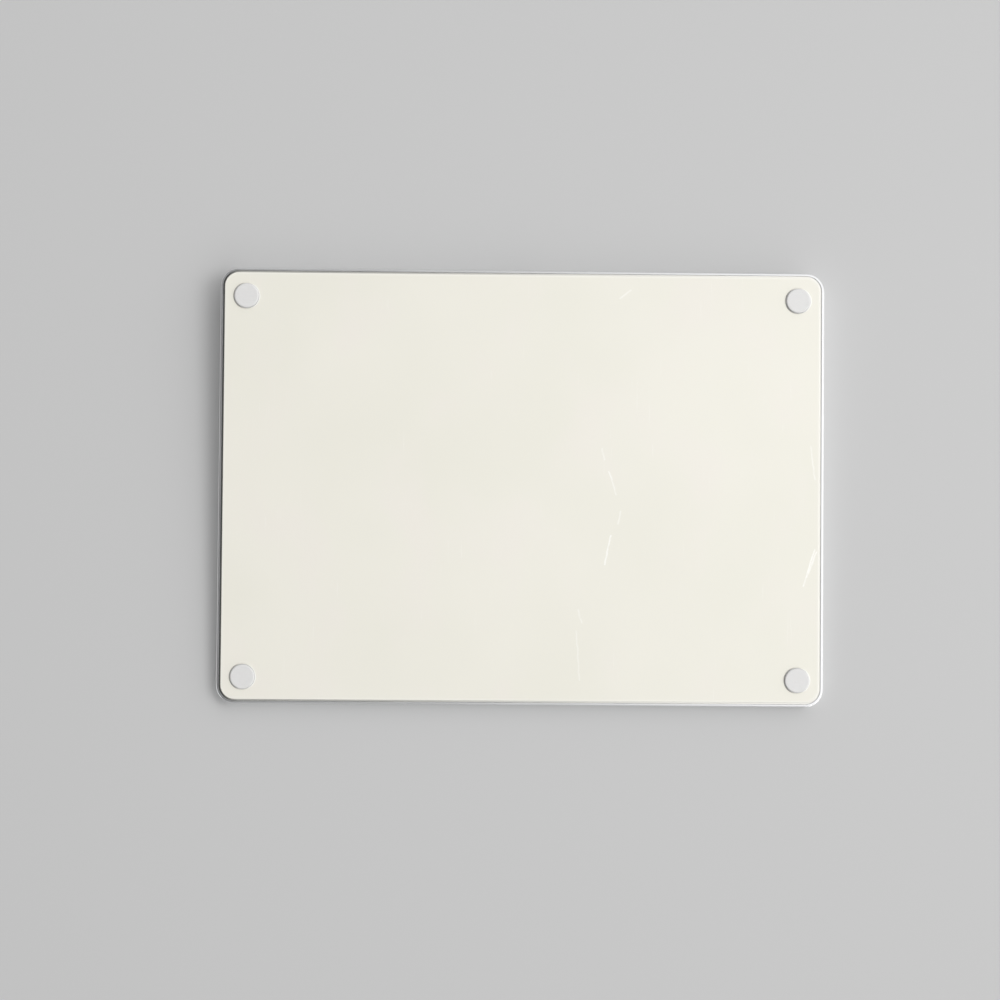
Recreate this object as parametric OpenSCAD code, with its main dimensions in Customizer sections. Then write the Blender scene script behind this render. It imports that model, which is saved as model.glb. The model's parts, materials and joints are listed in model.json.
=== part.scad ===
// Wedge-shaped wireless trackpad, in millimetres.
// The feet stand on z = 0, +X is the user's right and +Y points to the thick rear edge.
// A glass deck floats on four leaf springs above a milled housing, which a plastic plate closes below.

/* [Case] */
// Width of the case, side to side
case_w = 160; // [150:1:200]
// Depth of the case, front to rear
case_d = 114.9; // [110:0.1:140]
// Height of the glass above the desk at the front edge
front_h = 4.9; // [4.8:0.1:7]
// Height of the glass above the desk at the rear edge
rear_h = 10.9; // [10.4:0.1:14]
// Corner radius seen from above
corner_r = 4.8; // [4.5:0.1:9]
// Thickness of the housing's walls
wall_t = 3.4; // [3:0.1:4]
// Rounding of the housing's lower outer edge
rim_round = 0.45; // [0.2:0.05:0.6]
// Bevel of the housing's upper outer edge, under the glass
top_bevel = 0.15; // [0.1:0.05:0.3]
// Bevel round the openings in the rear wall
mouth_bevel = 0.2; // [0.1:0.05:0.24]
// Width of the lip that frames the bottom cover
lip_t = 0.66; // [0.6:0.01:0.9]
// Thickness of the housing's inner ribs
rib_t = 2.4; // [1.6:0.1:3]

/* [Bottom cover] */
// Thickness of the bottom cover
cover_t = 1; // [0.8:0.05:1.2]
// Height by which the cover stands proud of the rim
cover_proud = 0.3; // [0.1:0.05:0.4]
// Groove between the lip and the cover
cover_gap = 0.53; // [0.3:0.01:0.7]
// Rounding of the cover's outer edge
cover_round = 0.15; // [0.05:0.05:0.3]
// Thickness of the flange round the cover, which is the floor of the groove
cover_flange_t = 0.45; // [0.3:0.05:0.6]
// Thickness of the adhesive that holds the cover
adhesive_t = 0.1; // [0.05:0.05:0.2]

/* [Feet] */
// Diameter of a foot
foot_d = 6.6; // [5:0.1:8]
// Height by which a foot stands proud of the cover
foot_proud = 0.6; // [0.4:0.05:0.8]
// Depth of the pocket that a foot sits in
foot_pocket = 0.4; // [0.2:0.05:0.5]
// Rounding of a foot's lower edge
foot_round = 0.45; // [0.1:0.05:0.5]
// Distance from a foot's centre to the side of the case
foot_side = 6.95; // [6:0.05:12]
// Distance from a front foot's centre to the front edge
foot_front = 7.05; // [6:0.05:12]
// Distance from a rear foot's centre to the rear edge
foot_rear = 7.4; // [6:0.1:12]
// Thickness of the adhesive disc over a foot
foot_tape_t = 0.1; // [0.05:0.05:0.15]
// Radial clearance of a foot in its pocket
foot_clear = 0.05; // [0.05:0.05:0.2]

/* [Touch deck] */
// Thickness of the glass
glass_t = 0.9; // [0.7:0.05:1.1]
// Rounding of the glass's upper edge
glass_round = 0.3; // [0.1:0.05:0.5]
// Distance by which the glass stays inside the case outline
glass_inset = 0.15; // [0.1:0.05:0.4]
// Gap under the glass's rim, above the housing
seam_gap = 0.4; // [0.35:0.05:0.6]
// Thickness of the bond under the glass
bond_t = 0.1; // [0.05:0.05:0.2]
// Thickness of the sensor board
sensor_t = 0.5; // [0.4:0.05:0.6]
// Thickness of the plate that stiffens the deck
plate_t = 0.6; // [0.4:0.05:0.7]
// Gap from the deck's plate to the housing's walls
deck_side = 0.8; // [0.5:0.1:1.5]
// Travel of the deck when it is pressed
press_travel = 0.3; // [0.2:0.05:0.35]
// Free space left over fixed pieces when the deck is pressed
deck_clear = 0.3; // [0.1:0.05:0.4]
// Width of the window in the plate for the touch chips
window_w = 38; // [30:1:50]
// Depth of that window
window_d = 18; // [14:1:24]
// Height of the deck's ribbon connector
deck_conn_h = 1; // [0.8:0.1:1.4]

/* [Corner springs] */
// Thickness of a leaf spring
spring_t = 0.3; // [0.2:0.05:0.35]
// Width of a leaf spring at its root
spring_w = 10; // [8:0.5:14]
// Width of the arm of a leaf spring
spring_arm_w = 5; // [3:0.5:6]
// Length of the root that is screwed down
spring_root = 8; // [7:0.5:10]
// Length of the free arm
spring_arm = 10; // [9:0.5:14]
// Step between the root and the arm
spring_crank = 0.4; // [0.3:0.05:0.5]
// Length over which the leaf steps up
crank_run = 2; // [1:0.5:3]
// Distance from a spring's middle to the front or rear edge of the case
spring_end = 19.45; // [17:0.05:23]
// Thickness of a gel pad
gel_t = 0.5; // [0.45:0.05:0.6]
// Radius of a gel pad
gel_r = 3.2; // [2.5:0.1:3.5]
// Thickness of a strain gauge
gauge_t = 0.08; // [0.05:0.01:0.1]

/* [Haptic drive] */
// Width of the armature's blade
blade_w = 4; // [3:0.5:5]
// Depth of the armature's blade below the deck
blade_h = 2.2; // [1.8:0.1:2.4]
// Air gap between the blade and each pole
pole_gap = 0.4; // [0.3:0.05:0.8]
// Length of the poles
pole_l = 8; // [6:0.5:10]
// Length of the cores, front to rear
core_d = 12; // [10:0.5:13]
// Height of the cores' poles
core_h = 1.2; // [0.8:0.1:1.3]
// Thickness of the cores' yokes
yoke_t = 3; // [2:0.5:4]
// Width of the middle pole
mid_pole = 3.6; // [3:0.2:4]
// Width of an outer pole
end_pole = 2.2; // [1.6:0.2:2.4]
// Thickness of a coil's winding
coil_t = 0.4; // [0.3:0.05:0.5]
// Thickness of the sheet of the bracket
sheet_t = 0.3; // [0.2:0.05:0.4]
// Distance from the middle of the case to the rails that carry the bracket
rail_x = 30; // [26:0.5:34]
// Height of the rails above the cover's ledge
rail_h = 1.5; // [1.3:0.1:1.7]

/* [Battery] */
// Thickness of the cell
cell_t = 3.4; // [2.8:0.1:3.8]
// Depth of the cell, front to rear
cell_d = 41; // [34:0.5:44]
// Length of the terrace that carries the cell's tabs
terrace_l = 4; // [3:0.5:6]
// Thickness of the battery's protection board
battery_board_t = 1; // [0.8:0.1:1.2]
// Thickness of the tape under the cell
tape_t = 0.15; // [0.1:0.05:0.2]

/* [Logic board] */
// Width of the logic board
board_w = 36; // [34:0.5:42]
// Depth of the logic board, front to rear
board_d = 40; // [39:0.5:44]
// Thickness of the logic board
board_t = 0.8; // [0.6:0.1:1]
// Height of the board's bosses above the cover's ledge
board_lift = 0.7; // [0.6:0.1:0.9]
// Height of the board's connectors
conn_h = 0.68; // [0.6:0.02:0.8]
// Height of the shield can
shield_h = 1.5; // [1.2:0.1:2]
// Thickness of the ribbon cables
flex_t = 0.12; // [0.08:0.02:0.16]

/* [Charging socket] */
// Width of the socket's opening
port_w = 7; // [6.8:0.1:9]
// Height of the socket's opening
port_h = 1.9; // [1.8:0.1:2.4]
// Length of the socket's shell
port_l = 7.4; // [7:0.1:8]
// Thickness of the shell
shell_t = 0.35; // [0.25:0.05:0.5]
// Distance by which the shell's mouth lies inside the rear face
port_recess = 0.25; // [0.1:0.05:0.6]
// Contacts in the socket
contact_count = 8; // [4:1:9]

/* [Power switch] */
// Distance from the switch's middle to the right-hand side of the case
switch_side = 28; // [26:0.5:29]
// Width of the slider's knob
knob_w = 6.6; // [5:0.1:8]
// Height of the slider's knob
knob_h = 2.7; // [2.2:0.1:3.2]
// Rounding of the knob's outer edge
knob_round = 0.35; // [0.1:0.05:0.6]
// Travel of the slider from off to on
switch_travel = 2.6; // [2:0.1:3]
// Thickness of the slider's flange
flange_t = 0.8; // [0.6:0.1:1]
// Thickness of the wall that the slot goes through
switch_skin = 1.3; // [1:0.1:1.5]
// Distance by which the knob lies inside the rear face
knob_recess = 0.2; // [0:0.05:0.4]
// Height of the electrical switch
switch_body_h = 2.6; // [2.4:0.1:3]

/* [Screws] */
// Radius of a screw's shank
screw_r = 0.6; // [0.5:0.05:0.7]
// Radius of a screw's head
head_r = 1.1; // [1:0.05:1.3]
// Height of a screw's head
head_h = 0.33; // [0.25:0.02:0.36]

/* [Clearances] */
// Radial clearance of a screw in its hole
screw_clear = 0.05; // [0.03:0.01:0.1]
// Clearance round sliding pieces
slide_clear = 0.15; // [0.1:0.01:0.2]
// Clearance round the socket's shell
seat_clear = 0.05; // [0.03:0.01:0.1]
// Space between pieces that lie side by side
side_gap = 0.8; // [0.5:0.1:1]

/* [Hidden] */
$fn = 64;
round_steps = 6;
// Depth by which a rib or boss runs into the wall that carries it
root_in = 0.5;
// Extra length of a cut past the face that it opens
over = 1;
// Width of the band that carries the rounding of a plate's edge, and how far the middle runs into it
edge_band = 1;
edge_lap = 0.3;

// The deck lies in a plane that is tilted about X through the middle of the case
tilt = atan((rear_h - front_h)/case_d);
mid_h = (front_h + rear_h)/2;
deck_stack = glass_t + bond_t + sensor_t + plate_t;
chip_depth = glass_t + bond_t + sensor_t;
frame_depth = deck_stack + press_travel + deck_clear;

// Levels from the desk up
cover_z = foot_proud;
rim_z = cover_z + cover_proud;
cover_top = cover_z + cover_t;
ledge_z = cover_top + adhesive_t;
board_z = ledge_z + board_lift;
board_top = board_z + board_t;
flex_z = board_top + conn_h;
switch_z = flex_z + switch_body_h/2;
port_z = switch_z;
cell_z = cover_top + tape_t;
rail_z = ledge_z + rail_h;
pan_z = cover_top + deck_clear;
pan_top = pan_z + sheet_t;
winding_gap = 0.05;
pole_z = pan_top + coil_t + winding_gap;

// Outlines in plan
cover_inset = lip_t + cover_gap;
cover_w = case_w - 2*cover_inset;
cover_d = case_d - 2*cover_inset;
cover_r = corner_r - cover_inset;
inner_w = case_w - 2*wall_t;
inner_d = case_d - 2*wall_t;
rear_face = case_d/2;
rear_in = inner_d/2;
plate_w = inner_w - 2*deck_side;
plate_d = (inner_d - 2*deck_side)/cos(tilt);
plate_r = 1.5;

// Corner springs, measured along the deck for the right-hand side
spring_y = case_d/2 - spring_end;
spring_top = deck_stack + gel_t;
spring_root_top = spring_top + spring_crank;
post_depth = spring_root_top + spring_t;
root_out = inner_w/2 - 0.3;
root_end = root_out - spring_root;
crank_end = root_end - crank_run;
tip_x = crank_end - spring_arm;
tip_r = gel_r + 0.4;
post_l = spring_root + 1;
post_w = spring_w + 2;
spring_screw_x = root_out - spring_root/2;
spring_screw_y = spring_w/2 - 2;
spring_screw_l = spring_t + 0.6;
gauge_w = 3.4;
gauge_d = 2.4;

// Rear strip for the socket and switch, then the board and cell, the cross rib and the haptic drive
switch_x = case_w/2 - switch_side;
strip_d = 8;
bay_rear = rear_in - strip_d;
board_right = inner_w/2 - post_l - 5.6;
board_x = board_right - board_w/2;
board_y = bay_rear - board_d/2;
board_left = board_right - board_w;
board_front = bay_rear - board_d;
terrace_right = board_left - 4;
cell_right = terrace_right - terrace_l;
cell_left = -inner_w/2 + post_l + 5.6;
cell_w = cell_right - cell_left;
cell_y = bay_rear - cell_d/2;
rib_y = bay_rear - max(board_d, cell_d) - side_gap - rib_t/2;
drive_d = core_d + 2;
drive_y = rib_y - rib_t/2 - 3 - drive_d/2;

// Board screws and what the board carries, from the board's centre
board_screw_x = board_w/2 - 2.5;
board_screw_y = board_d/2 - 2.5;
board_screw_l = board_t + 0.6;
conn_w = 7;
conn_d = 3;
deck_conn_d = 4;
conn_margin = 1;
battery_conn_l = 8;
switch_conn_d = 2.6;
deck_conn = [0, 12 - board_d/2];
battery_conn = [3 - board_w/2, 4];
port_conn = [9.5 - board_w/2, board_d/2 - 2.8];
drive_conn = [10 - board_w/2, 3.2 - board_d/2];
switch_conn = [switch_x - board_x, board_d/2 - 2.2];

// Shield can, set in from the board's right-hand and rear edges
shield_w = 17;
shield_d = 11;
shield_side = 3;
shield_rear = 5.5;
shield_left = board_w - shield_side - shield_w;

// Chips on the board, from its front left corner: x, y, width, depth and height
chips = [[7.5, 14.5, 7, 7, 0.9], [board_w - 9.2, 13.5, 3, 2.4, 0.6], [board_w - 4.5, 13.5, 4, 6, 0.7],
    [7.4, board_d - 11.5, 4.6, 4.6, 0.8], [shield_left - 2, board_d - 7, 2.4, 3.2, 0.55]];

// Antenna film, behind the board's middle
antenna_w = 24;
antenna_d = 10;
antenna_shift = 8;
antenna_t = 0.12;
finger_w = 2;

// Ribbon from the deck to the board
loop_x = board_x + deck_conn[0];
loop_y = board_y + deck_conn[1];
loop_w = 8;
loop_run = 7.5;
loop_front = loop_y - deck_conn_d/2;
loop_top = plane_z(loop_front, chip_depth + deck_conn_h) - 0.05;
loop_r = (loop_top - flex_z)/2;

// Window for the chips on the deck, just ahead of the board's middle
window_x = loop_x + 8 - window_w/2;
window_y = loop_y + 2;
touch_chips_at = [[9, 9, 8, 8, 0.8], [19.5, 6.5, 5, 5, 0.7], [19.5, 13.5, 4, 3, 0.6]];

// Haptic drive
pole_start = blade_w/2 + pole_gap;
yoke_start = pole_start + pole_l;
coil_start = pole_start + 2;
coil_l = pole_l - 3;
coil_side = core_d/2 - end_pole - mid_pole/2 - 0.4;
pan_half = rail_x - rib_t/2 - 1.2;
ear_out = rail_x + rib_t/2;
drive_screw_y = drive_d/2 - 2.2;
drive_screw_l = sheet_t + 1;
notch_w = 9;

// Charging socket
shell_w = port_w + 2*shell_t;
shell_h = port_h + 2*shell_t;
shell_y = rear_face - port_recess - port_l;
port_wing = 6.5;
port_block_w = shell_w + 2*port_wing;
port_block_d = rear_in - shell_y - 0.3;
port_screw_x = (shell_w + port_wing)/2;
port_screw_y = rear_in - port_block_d/2;
port_bite = 2;
port_screw_l = sheet_t + port_bite;
strap_margin = 0.5;
insert_l = 1.4;
tail_l = 2;
shelf_h = 0.3;
shelf_back = 1;
contact_pitch = 0.65;
contact_w = 0.36;
contact_t = 0.15;
contact_back = 1.45;

// Power switch
slot_w = knob_w + switch_travel + 2*slide_clear;
slot_h = knob_h + 2*slide_clear;
knob_x = switch_x - switch_travel/2;
skin_in = rear_face - switch_skin;
flange_y = skin_in - slide_clear;
flange_w = slot_w + switch_travel + 1;
flange_h = slot_h + 0.9;
pocket_w = flange_w + switch_travel + 2*slide_clear;
pocket_h = flange_h + 2*slide_clear;
toggle_w = 1.2;
toggle_h = 1;
prong_w = 1;
prong_l = 1.8;
switch_body_w = 8.4;
switch_body_d = 3.4;
switch_body_y = flange_y - flange_t - prong_l - 0.6 - switch_body_d;
switch_board_w = 25;
switch_board_y = bay_rear + side_gap;
switch_board_d = rear_in - side_gap - switch_board_y;
switch_board_t = 0.8;
switch_screw_x = switch_board_w/2 - 2.2;
switch_screw_y = rear_in - 3.4;
switch_screw_l = switch_board_t + 1;

// Height of the plane that lies the given depth below the glass
function plane_z(y, depth) = mid_h + y*tan(tilt) - depth/cos(tilt);

// Points of an arc
function arc(cx, cy, r, from, to) =
    [for (i = [0:round_steps]) let (t = from + (to - from)*i/round_steps) [cx + r*cos(t), cy + r*sin(t)]];

// Frame of the deck: z = 0 on the glass, depth downwards
module deck_frame() {
    translate([0, 0, mid_h]) rotate([tilt, 0, 0]) children();
}

// Everything that lies deeper than the given depth below the glass
module below_deck(depth) {
    deck_frame()
        translate([-case_w, -case_d, -depth - 2*rear_h])
            cube([2*case_w, 2*case_d, 2*rear_h]);
}

// Block given by its middle in plan, its foot and its size
module block(x, y, z, size) {
    translate([x - size[0]/2, y - size[1]/2, z]) cube(size);
}

// Plate with rounded corners, centred in plan
module slab(w, d, r, h) {
    linear_extrude(h) {
        square([w - 2*r, d], center = true);
        square([w, d - 2*r], center = true);
        for (sx = [-1, 1], sy = [-1, 1])
            translate([sx*(w/2 - r), sy*(d/2 - r)]) circle(r);
    }
}

// Middle of a plate whose edge band is swept round it
module plate_middle(w, d, r, h) {
    inset = edge_band - edge_lap;
    slab(w - 2*inset, d - 2*inset, r - inset, h);
}

// Bar with round ends that lies along Y, from y = 0
module oblong(w, h, l) {
    rotate([-90, 0, 0]) {
        translate([-(w - h)/2, -h/2, 0]) cube([w - h, h, l]);
        for (s = [-1, 1])
            translate([s*(w - h)/2, 0, 0]) cylinder(r = h/2, h = l);
    }
}

// Bevel round the mouth of an oblong opening whose outer face lies at y = 0
module bevel_cut(w, h) {
    b = mouth_bevel;
    rotate([-90, 0, 0]) {
        translate([-(w - h)/2, 0, 0])
            rotate([90, 0, 90]) linear_extrude(w - h)
                polygon([[-h/2, -b], [h/2, -b], [h/2 + 2*b, b], [-h/2 - 2*b, b]]);
        for (s = [-1, 1])
            translate([s*(w - h)/2, 0, -b]) cylinder(r1 = h/2, r2 = h/2 + 2*b, h = 2*b);
    }
}

// Bar with round ends and a rounded outer edge that lies along Y, from y = 0
module rounded_oblong(w, h, l, r) {
    edge = arc(h/2 - r, l - r, r, 0, 90);
    rotate([-90, 0, 0]) {
        translate([-(w - h)/2, 0, 0])
            rotate([90, 0, 90]) linear_extrude(w - h)
                polygon(concat([[h/2, 0]], edge, [for (i = [round_steps:-1:0]) [-edge[i][0], edge[i][1]]],
                    [[-h/2, 0]]));
        for (s = [-1, 1])
            translate([s*(w - h)/2, 0, 0])
                rotate_extrude() polygon(concat([[0, 0], [h/2, 0]], edge, [[0, l]]));
    }
}

// Profile swept round a rounded rectangle: its x is the distance in from the edge and its y the height
module rim_sweep(w, d, r) {
    for (turn = [0, 180]) {
        rotate(turn)
            translate([r - w/2, -d/2, 0]) rotate([90, 0, 90]) linear_extrude(w - 2*r) children();
        rotate(turn + 90)
            translate([r - d/2, -w/2, 0]) rotate([90, 0, 90]) linear_extrude(d - 2*r) children();
    }
    for (quarter = [0:3])
        let (sx = quarter == 0 || quarter == 3 ? 1 : -1, sy = quarter < 2 ? 1 : -1)
            translate([sx*(w/2 - r), sy*(d/2 - r), 0])
                rotate(90*quarter)
                    rotate_extrude(angle = 90) translate([r, 0]) mirror([1, 0]) children();
}

// Screw with its head's underside at z = 0
module screw(shank_l) {
    difference() {
        cylinder(r = head_r, h = head_h);
        translate([0, 0, head_h/2]) cylinder(r = head_r/2, h = head_h, $fn = 6);
    }
    translate([0, 0, -shank_l]) cylinder(r = screw_r, h = shank_l);
}

// Hole for a screw's shank that opens at z = 0
module screw_hole(depth) {
    translate([0, 0, -depth]) cylinder(r = screw_r + screw_clear, h = depth + over);
}

// Places of the pieces that repeat
module at_feet() {
    for (sx = [-1, 1], y = [foot_front - case_d/2, case_d/2 - foot_rear])
        translate([sx*(case_w/2 - foot_side), y, 0]) children();
}

module at_springs() {
    deck_frame()
        for (sx = [0, 1], sy = [-1, 1])
            mirror([sx, 0, 0]) translate([0, sy*spring_y/cos(tilt), 0]) children();
}

module at_spring_screws() {
    at_springs()
        for (s = [-1, 1])
            translate([spring_screw_x, s*spring_screw_y, -spring_root_top]) children();
}

module at_drive_screws() {
    for (sx = [-1, 1], sy = [-1, 1])
        translate([sx*rail_x, drive_y + sy*drive_screw_y, rail_z + sheet_t]) children();
}

module at_board_screws() {
    for (sx = [-1, 1], sy = [-1, 1])
        translate([board_x + sx*board_screw_x, board_y + sy*board_screw_y, board_top]) children();
}

module at_port_screws() {
    for (s = [-1, 1])
        translate([s*port_screw_x, port_screw_y, port_z + shell_h/2 + sheet_t]) children();
}

module at_switch_screws() {
    for (s = [-1, 1])
        translate([switch_x + s*switch_screw_x, switch_screw_y, flex_z]) children();
}

// Section of the housing's wall: rounded foot, lip, ledge for the cover and inner face
module wall_profile() {
    polygon(concat(
        arc(rim_round, rim_z + rim_round, rim_round, 270, 180),
        [[0, rear_h], [wall_t, rear_h], [wall_t, ledge_z], [lip_t, ledge_z], [lip_t, rim_z]]));
}

// Cross rib behind the haptic drive, and the rails that run from it to the front wall
module ribs() {
    block(0, rib_y, ledge_z, [inner_w + 2*root_in, rib_t, rear_h]);
    rail_start = -inner_d/2 - root_in;
    for (s = [-1, 1])
        translate([s*rail_x - rib_t/2, rail_start, ledge_z])
            cube([rib_t, rib_y - rail_start, rail_h]);
}

module spring_posts() {
    for (sx = [-1, 1], sy = [-1, 1])
        block(sx*(inner_w + root_in - post_l)/2, sy*spring_y, ledge_z, [post_l + root_in, post_w, rear_h]);
}

// Pads under the logic board's corners, each reaching from a rib, a post or the rear wall
module board_pads() {
    pad_w = 4;
    for (s = [-1, 1])
        translate([board_x + s*board_screw_x - pad_w/2, rib_y, ledge_z])
            cube([pad_w, board_front + pad_w + 0.5 - rib_y, board_lift]);
    rear_y = board_y + board_screw_y - pad_w/2;
    translate([board_x + board_screw_x - pad_w/2, rear_y, ledge_z])
        cube([inner_w/2 + root_in - board_x - board_screw_x + pad_w/2, pad_w, board_lift]);
    translate([board_x - board_screw_x - pad_w/2, rear_y, ledge_z])
        cube([pad_w, rear_in + root_in - rear_y, board_lift]);
}

// Saddle that the charging socket lies in, on the rear wall
module port_block() {
    translate([-port_block_w/2, rear_in - port_block_d, ledge_z])
        cube([port_block_w, port_block_d + root_in, port_z + shell_h/2 - ledge_z]);
}

// Pads under the switch's board, on the rear wall
module switch_pads() {
    pad_w = 4;
    for (s = [-1, 1])
        translate([switch_x + s*switch_screw_x - pad_w/2, switch_board_y, ledge_z])
            cube([pad_w, rear_in + root_in - switch_board_y, flex_z - switch_board_t - ledge_z]);
}

// Opening for the socket: through the rear wall, then a trough that is open above
module port_cut() {
    cut_w = shell_w + 2*seat_clear;
    cut_h = shell_h + 2*seat_clear;
    translate([0, shell_y - over, port_z])
        oblong(cut_w, cut_h, rear_face - shell_y + 2*over);
    translate([0, rear_face, port_z]) bevel_cut(cut_w, cut_h);
    translate([-cut_w/2, rear_in - port_block_d - over, port_z])
        cube([cut_w, port_block_d + over, cut_h]);
}

// Slot for the slider's knob, and the pocket behind it for the flange
module switch_cut() {
    translate([switch_x, skin_in - over, switch_z]) oblong(slot_w, slot_h, switch_skin + 2*over);
    translate([switch_x, rear_face, switch_z]) bevel_cut(slot_w, slot_h);
    translate([switch_x - pocket_w/2, rear_in - over, switch_z - pocket_h/2])
        cube([pocket_w, skin_in - rear_in + over, pocket_h]);
}

// Cut that bevels the walls' outer edge where the deck's plane ends them
module top_bevel_cut() {
    top = -glass_t - seam_gap;
    deck_frame()
        rim_sweep(case_w, case_d/cos(tilt), corner_r)
            polygon([[-over, top - top_bevel - over], [top_bevel + over, top + over], [-over, top + over]]);
}

module housing() color("silver") difference() {
    union() {
        difference() {
            intersection() {
                rim_sweep(case_w, case_d, corner_r) wall_profile();
                below_deck(glass_t + seam_gap);
            }
            top_bevel_cut();
        }
        intersection() {
            ribs();
            below_deck(frame_depth);
        }
        intersection() {
            spring_posts();
            below_deck(post_depth);
        }
        board_pads();
        port_block();
        switch_pads();
    }
    port_cut();
    switch_cut();
    // Notch in the cross rib for the haptic drive's ribbon
    block(board_x + drive_conn[0], rib_y, flex_z - 0.3, [notch_w, rib_t + 2*over, rear_h]);
    at_spring_screws() screw_hole(spring_screw_l + screw_clear);
    at_drive_screws() screw_hole(drive_screw_l + screw_clear);
    at_board_screws() screw_hole(board_screw_l + screw_clear);
    at_port_screws() screw_hole(port_screw_l + screw_clear);
    at_switch_screws() screw_hole(switch_screw_l + screw_clear);
}

// Plate with a rounded edge, and a flange at its upper side that reaches the housing's lip
module bottom_cover() color("ivory") difference() {
    flange_z = cover_top - cover_flange_t;
    flange_w = cover_gap - seat_clear;
    union() {
        translate([0, 0, cover_z])
            plate_middle(cover_w, cover_d, cover_r, cover_t);
        rim_sweep(cover_w, cover_d, cover_r)
            polygon(concat(
                arc(cover_round, cover_z + cover_round, cover_round, 270, 180),
                [[0, flange_z], [-flange_w, flange_z], [-flange_w, cover_top],
                    [edge_band, cover_top], [edge_band, cover_z]]));
    }
    at_feet() translate([0, 0, cover_z - over]) cylinder(r = foot_d/2 + foot_clear, h = foot_pocket + over);
}

// Adhesive over the whole ledge
module cover_adhesive() color("dimgray")
    rim_sweep(case_w, case_d, corner_r)
        translate([lip_t + seat_clear, cover_top]) square([wall_t - lip_t - 2*seat_clear, adhesive_t]);

// Disc with a rounded lower edge
module foot(sx, y) {
    foot_top = cover_z + foot_pocket - foot_tape_t;
    color("lightgray")
        translate([sx*(case_w/2 - foot_side), y, 0])
            rotate_extrude()
                polygon(concat(
                    [[0, foot_top], [0, 0]],
                    arc(foot_d/2 - foot_round, foot_round, foot_round, 270, 360),
                    [[foot_d/2, foot_top]]));
}

module foot_front_left() foot(-1, foot_front - case_d/2);

module foot_front_right() foot(1, foot_front - case_d/2);

module foot_rear_left() foot(-1, case_d/2 - foot_rear);

module foot_rear_right() foot(1, case_d/2 - foot_rear);

module foot_adhesive() color("dimgray")
    at_feet()
        translate([0, 0, cover_z + foot_pocket - foot_tape_t]) cylinder(r = foot_d/2 - 0.4, h = foot_tape_t);

// Glass with a rounded upper edge, as large as the case
module touch_glass() {
    w = case_w - 2*glass_inset;
    d = (case_d - 2*glass_inset)/cos(tilt);
    r = corner_r - glass_inset;
    color("white")
        deck_frame() {
            translate([0, 0, -glass_t]) plate_middle(w, d, r, glass_t);
            rim_sweep(w, d, r)
                polygon(concat(
                    arc(glass_round, -glass_round, glass_round, 180, 90),
                    [[edge_band, 0], [edge_band, -glass_t], [0, -glass_t]]));
        }
}

module glass_bond() color("gainsboro")
    deck_frame()
        translate([0, 0, -glass_t - bond_t]) slab(plate_w - 1, plate_d - 1, plate_r, bond_t);

module sensor_board() color("darkgreen")
    deck_frame()
        translate([0, 0, -chip_depth]) slab(plate_w, plate_d, plate_r, sensor_t);

// Plate under the sensor board, with a window for the chips
module deck_plate() color("gray")
    deck_frame() difference() {
        translate([0, 0, -deck_stack]) slab(plate_w, plate_d, plate_r, plate_t);
        translate([window_x, window_y/cos(tilt), -deck_stack - over])
            slab(window_w, window_d, 1, plate_t + 2*over);
    }

module touch_chips() color("black")
    deck_frame()
        for (c = touch_chips_at)
            block(window_x - window_w/2 + c[0], window_y/cos(tilt) - window_d/2 + c[1], -chip_depth - c[4],
                [c[2], c[3], c[4]]);

module deck_connector() color("tan")
    deck_frame()
        block(loop_x, loop_y/cos(tilt), -chip_depth - deck_conn_h,
            [loop_w + 2*conn_margin, deck_conn_d, deck_conn_h]);

// Ribbon that leaves the board, turns back over itself and meets the deck's connector
module deck_flex() color("darkorange")
    translate([loop_x - loop_w/2, loop_front, flex_z]) {
        cube([loop_w, loop_run, flex_t]);
        translate([0, 0, 2*loop_r - flex_t]) cube([loop_w, loop_run, flex_t]);
        translate([0, loop_run, loop_r]) rotate([0, 90, 0]) intersection() {
            difference() {
                cylinder(r = loop_r, h = loop_w);
                translate([0, 0, -over]) cylinder(r = loop_r - flex_t, h = loop_w + 2*over);
            }
            translate([-2*loop_r, 0, 0]) cube([4*loop_r, 2*loop_r, loop_w]);
        }
    }

// Leaf with a screwed root, a step up and an arm that ends in a round tip
module leaf() {
    tip_end = tip_x - tip_r;
    intersection() {
        rotate([90, 0, 0]) linear_extrude(2*spring_w, center = true)
            polygon([[root_out, -post_depth], [root_out, -spring_root_top], [root_end, -spring_root_top],
                [crank_end, -spring_top], [tip_end, -spring_top], [tip_end, -spring_top - spring_t],
                [crank_end, -spring_top - spring_t], [root_end, -post_depth]]);
        translate([0, 0, -post_depth]) linear_extrude(post_depth) {
            translate([root_end, -spring_w/2]) square([spring_root, spring_w]);
            translate([tip_x, -spring_arm_w/2]) square([root_end - tip_x + 1, spring_arm_w]);
            translate([tip_x, 0]) circle(tip_r);
        }
    }
}

module corner_spring(left, sy) color("slategray")
    deck_frame()
        mirror([left ? 1 : 0, 0, 0]) translate([0, sy*spring_y/cos(tilt), 0]) difference() {
            leaf();
            for (s = [-1, 1])
                translate([spring_screw_x, s*spring_screw_y, -spring_root_top]) screw_hole(2*spring_t);
        }

module corner_spring_front_left() corner_spring(true, -1);

module corner_spring_front_right() corner_spring(false, -1);

module corner_spring_rear_left() corner_spring(true, 1);

module corner_spring_rear_right() corner_spring(false, 1);

module strain_gauges() color("goldenrod")
    at_springs()
        block(crank_end - 1 - gauge_w/2, 0, -spring_top, [gauge_w, gauge_d, gauge_t]);

module gel_pads() color("lightsteelblue")
    at_springs()
        translate([tip_x, 0, -spring_top]) cylinder(r = gel_r, h = gel_t);

module spring_screws() color("dimgray") at_spring_screws() screw(spring_screw_l);

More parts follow.
